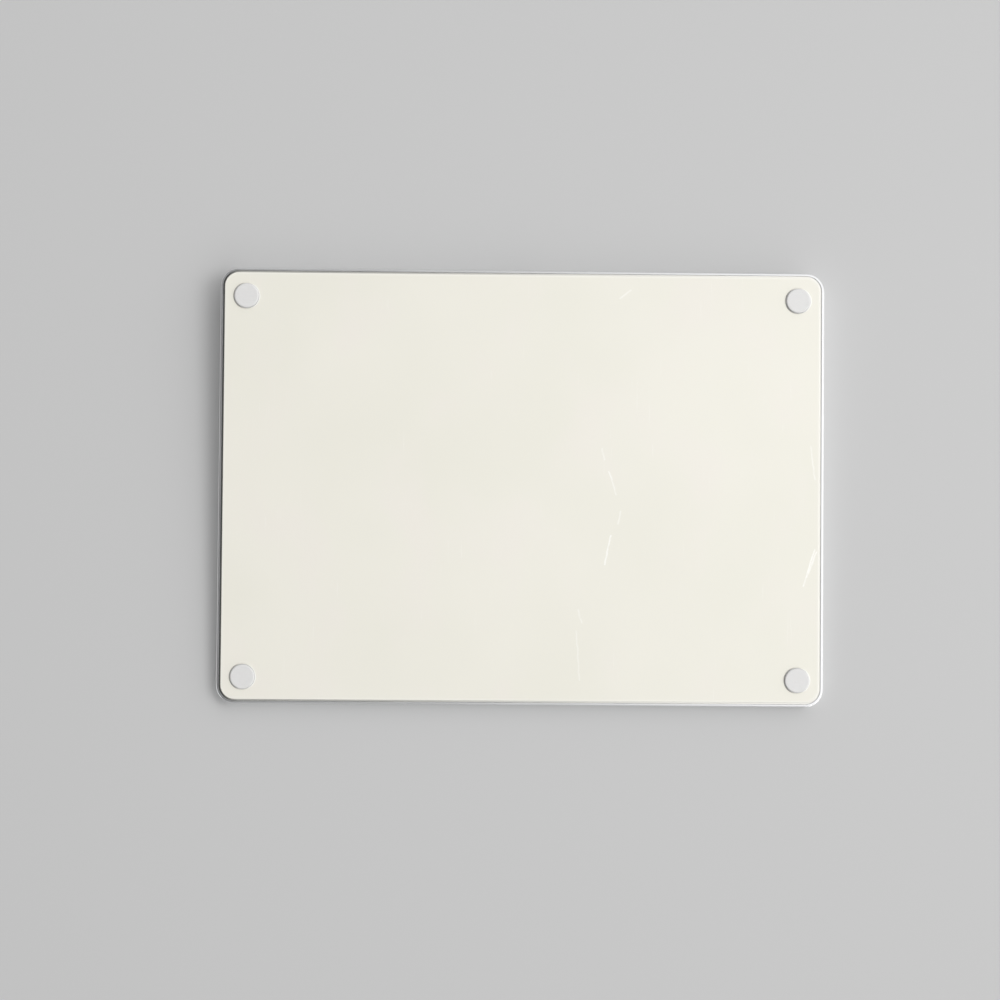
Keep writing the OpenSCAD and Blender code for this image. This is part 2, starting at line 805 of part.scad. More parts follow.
// Pressed pan that hangs between the rails by its ears
module actuator_bracket() color("lightgray") difference() {
    union() {
        block(0, drive_y, pan_z, [2*pan_half, drive_d, sheet_t]);
        for (s = [-1, 1]) {
            block(s*(pan_half - sheet_t/2), drive_y, pan_z, [sheet_t, drive_d, rail_z + sheet_t - pan_z]);
            block(s*(ear_out + pan_half - sheet_t)/2, drive_y, rail_z,
                [ear_out - pan_half + sheet_t, drive_d, sheet_t]);
        }
    }
    at_drive_screws() screw_hole(2*sheet_t);
}

// Two E-shaped cores whose poles face the armature from both sides
module actuator_cores() color("dimgray")
    for (s = [0, 1])
        mirror([s, 0, 0]) {
            block(yoke_start + yoke_t/2, drive_y, pan_top, [yoke_t, core_d, pole_z + core_h - pan_top]);
            block(pole_start + pole_l/2, drive_y, pole_z, [pole_l, mid_pole, core_h]);
            for (e = [-1, 1])
                block(pole_start + pole_l/2, drive_y + e*(core_d - end_pole)/2, pole_z,
                    [pole_l, end_pole, core_h]);
        }

// Coils wound round the middle poles
module actuator_coils() color("peru")
    for (s = [0, 1])
        mirror([s, 0, 0]) difference() {
            block(coil_start + coil_l/2, drive_y, pan_top,
                [coil_l, mid_pole + 2*coil_side, core_h + 2*(coil_t + winding_gap)]);
            block(coil_start + coil_l/2, drive_y, pole_z - winding_gap,
                [coil_l + 2*over, mid_pole + 2*winding_gap, core_h + 2*winding_gap]);
        }

module actuator_screws() color("dimgray") at_drive_screws() screw(drive_screw_l);

// Ribbon from the right-hand core over the rail and the cross rib to the board
module actuator_flex() {
    flex_w = 5;
    end_x = board_x + drive_conn[0];
    end_y = board_y + drive_conn[1] + 1;
    color("darkorange")
        translate([0, 0, flex_z]) {
            translate([yoke_start + 0.5, drive_y - flex_w/2, 0])
                cube([end_x + flex_w/2 - yoke_start - 0.5, flex_w, flex_t]);
            translate([end_x - flex_w/2, drive_y - flex_w/2, 0])
                cube([flex_w, end_y - drive_y + flex_w/2, flex_t]);
        }
}

// Blade under the deck, between the poles, with the flange that bonds it to the plate
module armature() {
    flange_h = 0.5;
    color("gray")
        deck_frame() translate([0, drive_y/cos(tilt), -deck_stack]) {
            block(0, 0, -flange_h, [blade_w + 3, core_d + 1, flange_h]);
            block(0, 0, -blade_h, [blade_w, core_d, blade_h]);
        }
}

// Pouch with a thin terrace on the side of the board, and the folded seams along its long sides
module battery_cell() color("dimgray") {
    seam_t = 0.35;
    translate([cell_left + cell_w/2, cell_y, cell_z]) {
        slab(cell_w, cell_d - 2*seam_t, 1.5, cell_t);
        block(0, 0, 0.4, [cell_w - 6, cell_d, cell_t - 0.8]);
    }
    block(cell_right + terrace_l/2 - 0.5, cell_y, cell_z,
        [terrace_l + 1, cell_d - 6, flex_z - battery_board_t - cell_z]);
}

module battery_board() color("darkgreen")
    block(cell_right + terrace_l/2, cell_y, flex_z - battery_board_t, [terrace_l - 0.6, cell_d - 10, battery_board_t]);

module battery_tape() color("whitesmoke")
    for (s = [-1, 1])
        block(cell_left + cell_w/2, cell_y + s*cell_d/4, cover_top, [cell_w - 8, cell_d/4, tape_t]);

module battery_flex() {
    start_x = cell_right + 0.8;
    end_x = board_x + battery_conn[0] + 1.2;
    color("darkorange")
        translate([start_x, board_y + battery_conn[1] - 3, flex_z]) cube([end_x - start_x, 6, flex_t]);
}

module logic_board() color("darkgreen") difference() {
    translate([board_x, board_y, board_z]) slab(board_w, board_d, 1, board_t);
    at_board_screws() screw_hole(2*board_t);
}

// Drawn lid over the radio, with a grid of vent holes
module shield_can() {
    can_t = 0.2;
    pitch = 3;
    color("silver")
        translate([board_left + shield_left + shield_w/2, bay_rear - shield_rear - shield_d/2, board_top])
            difference() {
            slab(shield_w, shield_d, 0.8, shield_h);
            translate([0, 0, -over]) slab(shield_w - 2*can_t, shield_d - 2*can_t, 0.6, shield_h - can_t + over);
            for (i = [-2:2], j = [-1:1])
                translate([i*pitch, j*pitch, shield_h - 2*can_t]) cylinder(r = 0.5, h = over, $fn = 24);
        }
}

module board_chips() color("black")
    for (c = chips)
        block(board_left + c[0], board_front + c[1], board_top, [c[2], c[3], c[4]]);

module board_connectors() color("tan")
    translate([board_x, board_y, 0]) {
        block(deck_conn[0], deck_conn[1], board_top, [loop_w + 2*conn_margin, deck_conn_d, conn_h]);
        block(battery_conn[0], battery_conn[1], board_top, [conn_d, battery_conn_l, conn_h]);
        for (c = [port_conn, drive_conn])
            block(c[0], c[1], board_top, [conn_w, conn_d, conn_h]);
        block(switch_conn[0], switch_conn[1], board_top, [conn_w, switch_conn_d, conn_h]);
    }

module board_screws() color("dimgray") at_board_screws() screw(board_screw_l);

// Film on the inside of the cover, with a finger up to the board
module antenna() color("goldenrod")
    translate([board_x, board_y + antenna_shift, cover_top]) {
        block(0, 0, 0, [antenna_w, antenna_d, antenna_t]);
        block(antenna_w/3, 0, 0, [finger_w, finger_w/2, board_z - cover_top]);
    }

module port_shell() color("lightgray")
    translate([0, shell_y, port_z]) difference() {
        oblong(shell_w, shell_h, port_l);
        translate([0, -over, 0]) oblong(port_w, port_h, port_l + 2*over);
    }

// Plug in the back of the shell, with a shelf for the contacts and a tail that meets the ribbon
module port_insert() {
    tail_z = flex_z + flex_t;
    color("black") {
        translate([0, shell_y, port_z]) oblong(port_w, port_h, insert_l);
        block(0, shell_y + (port_l - shelf_back)/2, port_z - port_h/2,
            [port_w - port_h, port_l - shelf_back, shelf_h]);
        block(0, shell_y - tail_l/2, tail_z, [port_w, tail_l, port_z + port_h/2 - tail_z]);
    }
}

module port_contacts() color("gold")
    for (i = [0:contact_count - 1])
        translate([(i - (contact_count - 1)/2)*contact_pitch - contact_w/2, shell_y + insert_l,
            port_z - port_h/2 + shelf_h])
            cube([contact_w, port_l - insert_l - contact_back, contact_t]);

// Strap over the shell, screwed to the saddle on both sides
module port_bracket() color("lightgray") difference() {
    block(0, port_screw_y, port_z + shell_h/2,
        [port_block_w - 2*strap_margin, port_block_d - 2*strap_margin, sheet_t]);
    at_port_screws() screw_hole(2*sheet_t);
}

module port_screws() color("dimgray") at_port_screws() screw(port_screw_l);

// Ribbon from the socket's tail along the rear strip to the board
module port_flex() {
    flex_w = tail_l;
    end_x = board_x + port_conn[0];
    end_y = board_y + port_conn[1];
    color("darkorange")
        translate([0, 0, flex_z]) {
            translate([-port_w/2, shell_y - tail_l, 0]) cube([end_x + port_w, flex_w, flex_t]);
            translate([end_x - port_w/2 + 0.5, end_y, 0])
                cube([port_w - 1, shell_y - tail_l/2 - end_y, flex_t]);
        }
}

// Knob in the slot, the flange that keeps it in, and the fork that drives the switch
module power_slider() color("whitesmoke") {
    translate([knob_x, flange_y - flange_t/2, switch_z])
        rounded_oblong(knob_w, knob_h, rear_face - knob_recess - flange_y + flange_t/2, knob_round);
    block(knob_x, flange_y - flange_t/2, switch_z - flange_h/2, [flange_w, flange_t, flange_h]);
    prong_x = (toggle_w + prong_w)/2 + slide_clear;
    for (s = [-1, 1])
        block(knob_x + s*prong_x, flange_y - flange_t - prong_l/2, switch_z - toggle_h,
            [prong_w, prong_l, 2*toggle_h]);
}

// Green film on the flange that shows in the slot when the switch is on
module switch_indicator() {
    film_t = 0.06;
    color("limegreen")
        block(knob_x - knob_w/2 - switch_travel/2 - slide_clear, flange_y + film_t/2, switch_z - slot_h/2,
            [switch_travel + slide_clear, film_t, slot_h]);
}

module switch_toggle() {
    toggle_start = switch_body_y + 1.2;
    toggle_end = flange_y - flange_t - 0.4;
    color("black")
        block(knob_x, (toggle_start + toggle_end)/2, switch_z - toggle_h/2,
            [toggle_w, toggle_end - toggle_start, toggle_h]);
}

// Electrical slide switch, hollow where its toggle runs
module switch_body() color("silver") difference() {
    block(switch_x, switch_body_y + switch_body_d/2, flex_z, [switch_body_w, switch_body_d, switch_body_h]);
    block(switch_x, switch_body_y + 1 + switch_body_d/2, switch_z - toggle_h/2 - slide_clear,
        [toggle_w + switch_travel + 2*slide_clear, switch_body_d, toggle_h + 2*slide_clear]);
}

module switch_board() color("darkgreen") difference() {
    block(switch_x, switch_board_y + switch_board_d/2, flex_z - switch_board_t,
        [switch_board_w, switch_board_d, switch_board_t]);
    at_switch_screws() screw_hole(2*switch_board_t);
}

module switch_screws() color("dimgray") at_switch_screws() screw(switch_screw_l);

module switch_flex() {
    start_y = board_y + switch_conn[1] - 0.8;
    end_y = switch_body_y - 0.4;
    color("darkorange")
        translate([switch_x - 2.5, start_y, flex_z]) cube([5, end_y - start_y, flex_t]);
}

housing();
bottom_cover();
cover_adhesive();
foot_front_left();
foot_front_right();
foot_rear_left();
foot_rear_right();
foot_adhesive();
touch_glass();
glass_bond();
sensor_board();
deck_plate();
touch_chips();
deck_connector();
deck_flex();
corner_spring_front_left();
corner_spring_front_right();
corner_spring_rear_left();
corner_spring_rear_right();
strain_gauges();
gel_pads();
spring_screws();
actuator_bracket();
actuator_cores();
actuator_coils();
actuator_screws();
actuator_flex();
armature();
battery_cell();
battery_board();
battery_tape();
battery_flex();
logic_board();
shield_can();
board_chips();
board_connectors();
board_screws();
antenna();
port_shell();
port_insert();
port_contacts();
port_bracket();
port_screws();
port_flex();
power_slider();
switch_indicator();
switch_toggle();
switch_body();
switch_board();
switch_screws();
switch_flex();
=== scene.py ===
"""Looks of a wedge-shaped wireless trackpad, seen from below.

Finishes for the solids, finer pieces in the place of the plain ones, the stage, the light and the camera.
"""

import json
import math

import bmesh
import bpy
import numpy as np
from mathutils import Matrix, Vector


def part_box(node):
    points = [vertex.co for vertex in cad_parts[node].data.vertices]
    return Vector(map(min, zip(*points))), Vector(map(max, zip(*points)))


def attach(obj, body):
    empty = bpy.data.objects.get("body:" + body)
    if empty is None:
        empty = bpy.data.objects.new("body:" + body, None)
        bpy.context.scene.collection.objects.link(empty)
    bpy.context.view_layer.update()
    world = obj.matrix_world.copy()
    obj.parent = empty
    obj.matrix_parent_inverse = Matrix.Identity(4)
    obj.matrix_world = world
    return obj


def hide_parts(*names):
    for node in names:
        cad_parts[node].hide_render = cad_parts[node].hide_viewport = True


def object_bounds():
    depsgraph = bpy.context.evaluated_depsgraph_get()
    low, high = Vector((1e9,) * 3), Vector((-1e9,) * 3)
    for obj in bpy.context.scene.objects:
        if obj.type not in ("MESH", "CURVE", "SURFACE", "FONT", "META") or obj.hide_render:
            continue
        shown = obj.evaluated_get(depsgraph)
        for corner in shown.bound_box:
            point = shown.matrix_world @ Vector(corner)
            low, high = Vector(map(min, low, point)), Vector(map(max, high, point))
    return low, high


MM = 0.001

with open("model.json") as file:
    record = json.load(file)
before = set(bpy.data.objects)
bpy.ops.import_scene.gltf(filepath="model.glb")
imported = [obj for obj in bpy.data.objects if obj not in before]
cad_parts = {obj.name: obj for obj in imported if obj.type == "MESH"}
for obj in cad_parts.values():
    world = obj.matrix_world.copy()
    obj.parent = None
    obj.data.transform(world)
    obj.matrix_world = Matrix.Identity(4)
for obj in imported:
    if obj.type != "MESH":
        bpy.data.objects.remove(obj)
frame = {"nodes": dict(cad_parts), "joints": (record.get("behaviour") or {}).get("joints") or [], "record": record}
cad_low, cad_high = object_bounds()
nodes = frame["nodes"]
slot_of = {part["node"]: part["material_slot"] for part in frame["record"]["subparts"]}

# Plane of the touch deck, from the axis that it is pressed along
press = next(j for j in frame["joints"] if j["name"] == "deck_press")
deck_normal = Vector(press["axis"]).normalized()
deck_tilt = math.atan2(-deck_normal.y, deck_normal.z)
glass_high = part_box("touch_glass")[1]
glass_height = glass_high.z - glass_high.y * math.tan(deck_tilt)

# Camera of the photograph, below the part: image up is +Y and image right is -X, in millimetres
CAMERA_AT = Vector((13.0, -16.6, -500.0))
CAMERA_AIM = Vector((5.7, -3.4, 0.9))
CAMERA_ROLL = math.radians(-0.47)
CAMERA_LENS = 68.3
SENSOR_WIDTH = 36.0
CAMERA_NEAR = 10.0

# Marks of wear on the bottom cover, as strokes in millimetres: start, end and how strongly each shows
SCUFFS = [
    ((-25.6, 50.3), (-28.5, 52.5), 0.55),
    ((-21.2, 10.4), (-21.8, 7.5), 0.5),
    ((-22.9, 4.3), (-24.0, 2.2), 0.8),
    ((-23.8, 2.2), (-24.9, -1.7), 0.55),
    ((-26.2, -6.2), (-25.5, -9.4), 0.55),
    ((-23.6, -12.6), (-22.1, -20.2), 1.0),
    ((-15.1, -32.2), (-16.0, -35.6), 0.45),
    ((-14.7, -37.8), (-15.6, -50.7), 0.4),
    ((-76.5, 11.5), (-77.6, 2.8), 0.5),
    ((-77.6, -15.9), (-74.7, -25.5), 1.0),
    ((-78.1, -16.5), (-75.6, -23.1), 0.8),
]
SCUFF_WIDTH = 0.34

FEET = ("foot_front_left", "foot_front_right", "foot_rear_left", "foot_rear_right")

# Plate of the bottom cover, inside the flange that reaches the housing's lip, in millimetres
PLATE_CORNER = 3.6
FLANGE_REACH = 0.48

# Painted light and shade in the cover's groove, by x in millimetres: where it starts, where it is grey
# and where it is black. Then the reach of the painted shadow and highlight round each foot
GROOVE_SHADE_START = -78.0
GROOVE_SHADE_GREY = 74.0
GROOVE_SHADE_BLACK = 78.6
FOOT_SHADOW_HIGHLIGHT_REACH = 0.36

# Fine repeats in the finishes of the hidden pieces, in millimetres
CORE_SHEET = 0.35
LEAD_PITCH = 0.5
TRACK_PITCH = 0.6


class Wire:
    """Output of a node that takes part in Python arithmetic: each operator adds a Math node."""

    def __init__(self, graph, socket):
        self.graph = graph
        self.socket = socket

    def __add__(self, other):
        return self.graph.math("ADD", self, other)

    def __sub__(self, other):
        return self.graph.math("SUBTRACT", self, other)

    def __rsub__(self, other):
        return self.graph.math("SUBTRACT", other, self)

    def __mul__(self, other):
        return self.graph.math("MULTIPLY", self, other)

    def __truediv__(self, other):
        return self.graph.math("DIVIDE", self, other)

    def __pow__(self, other):
        return self.graph.math("POWER", self, other)

    def __neg__(self):
        return self * -1

    __radd__ = __add__
    __rmul__ = __mul__


class Graph:
    """Node tree that is filled from Python."""

    def __init__(self, tree):
        self.tree = tree

    def node(self, kind, settings=None, sockets=None, out=0):
        """New node: its settings first, then the value, wire or list of wires of each of its sockets.

        Gives one of its outputs.
        """
        made = self.tree.nodes.new(kind)
        for name, value in (settings or {}).items():
            setattr(made, name, value)
        for key, value in (sockets or {}).items():
            if isinstance(value, list):
                for wire in value:
                    self.tree.links.new(wire.socket, made.inputs[key])
            elif isinstance(value, Wire):
                self.tree.links.new(value.socket, made.inputs[key])
            else:
                made.inputs[key].default_value = value
        return Wire(self, made.outputs[out])

    def math(self, operation, *values, clamp=False):
        settings = {"operation": operation, "use_clamp": clamp}
        return self.node("ShaderNodeMath", settings, dict(enumerate(values)))

    def blend(self, factor, low, high):
        """Colour that goes from low to high with the factor."""
        return self.node("ShaderNodeMix", {"data_type": "RGBA"}, {0: factor, 6: low, 7: high}, out=2)

    def mixed(self, factor, low, high):
        """Number that goes from low to high with the factor."""
        return low * (1 - factor) + high * factor

    def axes(self, vector):
        """The x, y and z of a vector."""
        split = self.node("ShaderNodeSeparateXYZ", None, {0: vector})
        return [Wire(self, socket) for socket in split.socket.node.outputs]

    def step(self, value, low, high):
        """Smooth rise from 0 to 1 between two values."""
        return self.node("ShaderNodeMapRange", {"interpolation_type": "SMOOTHSTEP"},
                         {"Value": value, "From Min": low, "From Max": high})


class Finish(Graph):
    """Material with one Principled shader, patterned on the piece's own place in millimetres."""

    def __init__(self, name, colour, roughness, metallic=0.0, constants=None):
        self.material = bpy.data.materials.new(name)
        self.material.use_nodes = True
        super().__init__(self.material.node_tree)
        self.shader = self.tree.nodes["Principled BSDF"]
        self.feed("Base Color", (*colour, 1.0))
        self.feed("Roughness", roughness)
        self.feed("Metallic", metallic)
        for socket, value in (constants or {}).items():
            self.feed(socket, value)
        place = self.node("ShaderNodeTexCoord", out="Object")
        self.place = self.node("ShaderNodeVectorMath", {"operation": "SCALE"}, {0: place, "Scale": 1 / MM})

    def feed(self, socket, value):
        """Gives one of the shader's sockets a constant or a wire."""
        if isinstance(value, Wire):
            self.tree.links.new(value.socket, self.shader.inputs[socket])
        else:
            self.shader.inputs[socket].default_value = value

    def noise(self, scale, detail=2.0, roughness=0.5, stretch=None, turn=(0.0, 0.0, 0.0)):
        """Noise round 0.5, with scale in spots a millimetre; a stretch makes the spots into strokes."""
        place = self.place
        if stretch:
            strokes = {"Vector": place, "Rotation": turn, "Scale": stretch}
            place = self.node("ShaderNodeMapping", None, strokes)
        spots = {"Vector": place, "Scale": scale, "Detail": detail, "Roughness": roughness}
        return self.node("ShaderNodeTexNoise", None, spots, out="Fac")

    def relief(self, height, depth):
        """Bump whose height of 1 stands the given depth proud, in millimetres."""
        self.feed("Normal", self.node("ShaderNodeBump", None, {"Distance": depth * MM, "Height": height}))


def stroke_mask(finish, x, y, start, end, width):
    """1 along a straight stroke in plan, falling to 0 at its width."""
    run_x = end[0] - start[0]
    run_y = end[1] - start[1]
    length_2 = run_x**2 + run_y**2
    along_x = (x - start[0]) * (run_x / length_2)
    along_y = (y - start[1]) * (run_y / length_2)
    along = finish.math("ADD", along_x, along_y, clamp=True)
    off_x = x - start[0] - along * run_x
    off_y = y - start[1] - along * run_y
    off = (off_x * off_x + off_y * off_y) ** 0.5
    return 1 - finish.step(off, 0.0, width)


def inside_plate(finish, x, y):
    """Distance in from the outline of the cover's plate, up to its corner radius; below 0 on the flange."""
    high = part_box("bottom_cover")[1]
    inset = PLATE_CORNER + FLANGE_REACH
    out_x = finish.math("MAXIMUM", finish.math("ABSOLUTE", x) + (inset - high.x / MM), 0.0)
    out_y = finish.math("MAXIMUM", finish.math("ABSOLUTE", y) + (inset - high.y / MM), 0.0)
    return PLATE_CORNER - (out_x * out_x + out_y * out_y) ** 0.5


def foot_sides(finish, x, y, reach):
    """From 1 at one side of each foot to -1 at the other, on the plate within a short reach of the foot."""
    sides = 0.0
    for foot in FEET:
        low, high = (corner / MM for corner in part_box(foot))
        middle = (low + high) / 2
        radius = (high.x - low.x) / 2
        off_x = x - middle.x
        off_y = y - middle.y
        off = (off_x * off_x + off_y * off_y) ** 0.5
        near = 1 - finish.step(off, radius + reach / 2, radius + reach)
        sides = sides + off_x / off * near
    return sides


def blasted_aluminium():
    """Case: bead-blasted and anodised, with a fine even grain and the faint smears of handling."""
    f = Finish("blasted_aluminium", (0.80, 0.805, 0.81), 0.3, 1.0)
    grain = f.noise(5.0, 2.0, 0.6)
    smears = f.noise(0.06, 2.0, 0.5)
    tone = grain * 0.3 + smears * 0.7
    f.feed("Base Color", f.blend(tone, (0.76, 0.765, 0.772, 1), (0.85, 0.855, 0.86, 1)))
    f.feed("Roughness", 0.27 + grain * 0.03 + smears * 0.06)
    f.relief(grain, 0.0012)
    return f.material


def satin_cover():
    """Bottom cover: warm white plastic, spark-eroded texture, uneven tone, a painted edge highlight and scuffs.

    Painted shade darkens the groove to black towards one end and painted light keeps it pale towards the other.
    Round each foot, a painted shadow lies on one side and a painted highlight on the other.
    """
    f = Finish("satin_cover", (0.845, 0.825, 0.745), 0.5)
    x, y = f.axes(f.place)[:2]
    tone = f.noise(0.022, 2.0, 0.5)
    blush = f.noise(0.05, 2.0, 0.5, stretch=(1.0, 0.7, 1.0))
    texture = f.noise(3.2, 2.0, 0.6)
    hairs = f.noise(1.0, 1.0, 0.5, stretch=(2.6, 0.08, 1.0), turn=(0.0, 0.0, math.radians(8)))
    wander = (f.noise(0.55, 1.0) - 0.5) * 0.5
    gaps = f.step(f.noise(1.1, 2.0), 0.30, 0.55)
    scuffs = f.step(hairs, 0.70, 0.80) * f.step(blush, 0.45, 0.6) * 0.25
    for start, end, strength in SCUFFS:
        scuff = stroke_mask(f, x + wander, y, start, end, SCUFF_WIDTH) * strength
        scuffs = f.math("MAXIMUM", scuffs, scuff)
    scuffs = scuffs * (0.5 + gaps * 0.5)
    inward = inside_plate(f, x, y)
    # Lighter band along the plate's edge: a painted edge highlight
    edge_highlight = 1 - f.step(inward, 0.15, 0.75)
    groove = 1 - f.step(inward, -0.12, -0.02)
    # Groove colour: painted light at one end, then painted shade to grey and to black towards the other
    grime_and_painted_shade = f.blend(f.step(x, GROOVE_SHADE_START, GROOVE_SHADE_GREY), (0.93, 0.915, 0.86, 1), (0.42, 0.415, 0.39, 1))
    grime_and_painted_shade = f.blend(f.step(x, GROOVE_SHADE_GREY, GROOVE_SHADE_BLACK), grime_and_painted_shade, (0.06, 0.06, 0.058, 1))
    base = f.blend(f.step(tone, 0.3, 0.7), (0.832, 0.815, 0.728, 1), (0.855, 0.834, 0.752, 1))
    base = f.blend(f.step(blush, 0.48, 0.72) * 0.55, base, (0.858, 0.82, 0.757, 1))
    base = f.blend(edge_highlight * 0.6, base, (0.905, 0.89, 0.825, 1))
    base = f.blend(groove, base, grime_and_painted_shade)
    # Round each foot: a painted shadow on one side and a painted highlight on the other
    sides = foot_sides(f, x, y, FOOT_SHADOW_HIGHLIGHT_REACH)
    base = f.blend(f.step(sides, 0.1, 0.75) * 0.8, base, (0.30, 0.29, 0.265, 1))
    base = f.blend(f.step(-sides, 0.2, 0.8), base, (0.95, 0.94, 0.89, 1))
    base = f.blend(scuffs, base, (0.985, 0.975, 0.93, 1))
    f.feed("Base Color", base)
    f.feed("Roughness", 0.46 + texture * 0.08 - scuffs * 0.12)
    f.relief(texture * 0.4 - scuffs, 0.008)
    return f.material


def foot_polymer():
    """Feet: light grey polymer, ground flat by the desk, with a little grime here and there."""
    f = Finish("foot_polymer", (0.735, 0.73, 0.72), 0.58)
    texture = f.noise(4.5, 3.0, 0.6)
    rubs = f.noise(0.9, 3.0, 0.6, stretch=(0.4, 2.4, 1.0), turn=(0.0, 0.0, math.radians(25)))
    grime_and_painted_shade = f.step(f.noise(0.7, 4.0, 0.6), 0.52, 0.75)
    base = f.blend(rubs, (0.715, 0.712, 0.705, 1), (0.765, 0.758, 0.748, 1))
    f.feed("Base Color", f.blend(grime_and_painted_shade * 0.3, base, (0.66, 0.655, 0.64, 1)))
    f.feed("Roughness", 0.5 + texture * 0.16)
    f.relief(texture, 0.006)
    return f.material


def etched_glass():
    """Touch surface: white-backed glass, etched to a satin, with a cooler cut edge and finger smears."""
    f = Finish("etched_glass", (0.84, 0.845, 0.845), 0.32, constants={"IOR": 1.5})
    y, z = f.axes(f.place)[1:]
    depth = (glass_height / MM + y * math.tan(deck_tilt) - z) * math.cos(deck_tilt)
    edge = f.step(depth, 0.14, 0.34)
    smears = f.noise(0.04, 2.0, 0.5, stretch=(1.0, 0.6, 1.0), turn=(0.0, 0.0, math.radians(30)))
    tone = f.blend(f.noise(0.02, 2.0), (0.83, 0.835, 0.835, 1), (0.85, 0.855, 0.855, 1))
    f.feed("Base Color", f.blend(edge, tone, (0.66, 0.71, 0.70, 1)))
    f.feed("Roughness", 0.28 + f.step(smears, 0.35, 0.75) * 0.08)
    return f.material


def slider_plastic():
    """Knob of the power switch: light grey plastic with a fine texture and uneven rub."""
    f = Finish("slider_plastic", (0.74, 0.74, 0.735), 0.42)
    texture = f.noise(6.0, 3.0, 0.6)
    rub = f.noise(0.8, 3.0, 0.55)
    f.feed("Base Color", f.blend(rub, (0.70, 0.70, 0.695, 1), (0.79, 0.79, 0.785, 1)))
    f.feed("Roughness", 0.36 + texture * 0.14)
    f.relief(texture, 0.008)
    return f.material


def indicator_film():
    """Film that shows when the switch is on: green, with a fine grain."""
    f = Finish("indicator_film", (0.07, 0.52, 0.12), 0.38)
    grain = f.noise(5.0, 2.0)
    f.feed("Base Color", f.blend(grain, (0.055, 0.47, 0.10, 1), (0.09, 0.58, 0.15, 1)))
    f.feed("Roughness", 0.32 + grain * 0.12)
    return f.material


def rolled_metal(name, dark, light, roughness, along=(0.08, 2.2, 2.2), relief=0.004):
    """Sheet or bar metal whose rolling marks run along one axis."""
    f = Finish(name, light, roughness, 1.0)
    marks = f.noise(1.6, 4.0, 0.6, stretch=along)
    stain = f.noise(0.16, 3.0, 0.5)
    f.feed("Base Color", f.blend(marks * 0.7 + stain * 0.3, (*dark, 1), (*light, 1)))
    f.feed("Roughness", roughness - 0.06 + marks * 0.14)
    f.relief(marks, relief)
    return f.material


def laminated_iron():
    """Cores: pressed from thin sheets, whose edges show as fine lines."""
    f = Finish("laminated_iron", (0.30, 0.30, 0.31), 0.5, 1.0)
    z = f.axes(f.place)[2]
    half = CORE_SHEET / 2
    sheets = f.math("PINGPONG", z, half) / half
    rust = f.noise(0.8, 4.0, 0.6)
    f.feed("Base Color", f.blend(f.step(sheets, 0.05, 0.3), (0.12, 0.12, 0.125, 1), (0.36, 0.36, 0.37, 1)))
    f.feed("Roughness", 0.4 + rust * 0.25)
    f.relief(f.step(sheets, 0.05, 0.3), 0.02)
    return f.material


def enamelled_copper():
    """Wire of the coils: copper under a clear enamel."""
    f = Finish("enamelled_copper", (0.70, 0.30, 0.12), 0.3, 1.0, {"Coat Weight": 0.5})
    grain = f.noise(3.0, 3.0)
    f.feed("Base Color", f.blend(grain, (0.60, 0.235, 0.09, 1), (0.78, 0.37, 0.16, 1)))
    f.feed("Roughness", 0.24 + grain * 0.14)
    return f.material


def solder_mask():
    """Boards: green mask over square-cornered tracks, with pads here and there."""
    f = Finish("solder_mask", (0.02, 0.10, 0.055), 0.3)
    cells = f.node("ShaderNodeTexVoronoi", {"distance": "CHEBYCHEV", "feature": "F1"},
                   {"Vector": f.place, "Scale": 0.9, "Randomness": 0.75}, out="Distance")
    tracks = f.step(f.math("PINGPONG", cells, 0.09), 0.052, 0.062)
    pads = 1 - f.step(cells, 0.07, 0.085)
    weave = f.noise(2.4, 2.0)
    mask = f.blend(tracks, (0.012, 0.075, 0.04, 1), (0.02, 0.13, 0.07, 1))
    f.feed("Base Color", f.blend(pads, mask, (0.62, 0.45, 0.18, 1)))
    f.feed("Metallic", pads)
    f.feed("Roughness", 0.24 + weave * 0.14)
    f.relief(tracks, 0.03)
    return f.material


def moulded_black(name, colour, roughness, speckle):
    """Matt black resin with pale specks."""
    f = Finish(name, colour, roughness)
    grain = f.noise(4.0, 4.0, 0.65)
    f.feed("Base Color", f.blend(grain * speckle, (*colour, 1), (0.16, 0.16, 0.165, 1)))
    f.feed("Roughness", roughness - 0.08 + grain * 0.16)
    f.relief(grain, 0.01)
    return f.material


def connector_plastic():
    """Connectors: cream liquid-crystal polymer with a row of tinned leads along each side."""
    f = Finish("connector_plastic", (0.62, 0.54, 0.40), 0.45)
    x = f.axes(f.place)[0]
    leads = f.step(f.math("PINGPONG", x, LEAD_PITCH / 2), 0.13, 0.16)
    flow = f.noise(0.9, 4.0, 0.6, stretch=(0.3, 1.0, 1.0))
    cream = f.blend(flow, (0.56, 0.48, 0.35, 1), (0.67, 0.59, 0.45, 1))
    f.feed("Base Color", f.blend(leads * 0.35, cream, (0.72, 0.72, 0.70, 1)))
    f.feed("Roughness", 0.38 + flow * 0.14)
    return f.material


def ribbon_film(name, across):
    """Ribbon cables: amber film over a row of copper tracks that run along the ribbon."""
    f = Finish(name, (0.50, 0.24, 0.045), 0.28, constants={"Coat Weight": 0.25})
    side = f.axes(f.place)[across]
    tracks = f.step(f.math("PINGPONG", side, TRACK_PITCH / 2), 0.11, 0.15)
    haze = f.noise(0.5, 3.0)
    film = f.blend(haze, (0.36, 0.16, 0.03, 1), (0.48, 0.23, 0.05, 1))
    f.feed("Base Color", f.blend(tracks, film, (0.66, 0.34, 0.10, 1)))
    f.feed("Roughness", 0.24 + haze * 0.12)
    f.relief(tracks, 0.02)
    return f.material


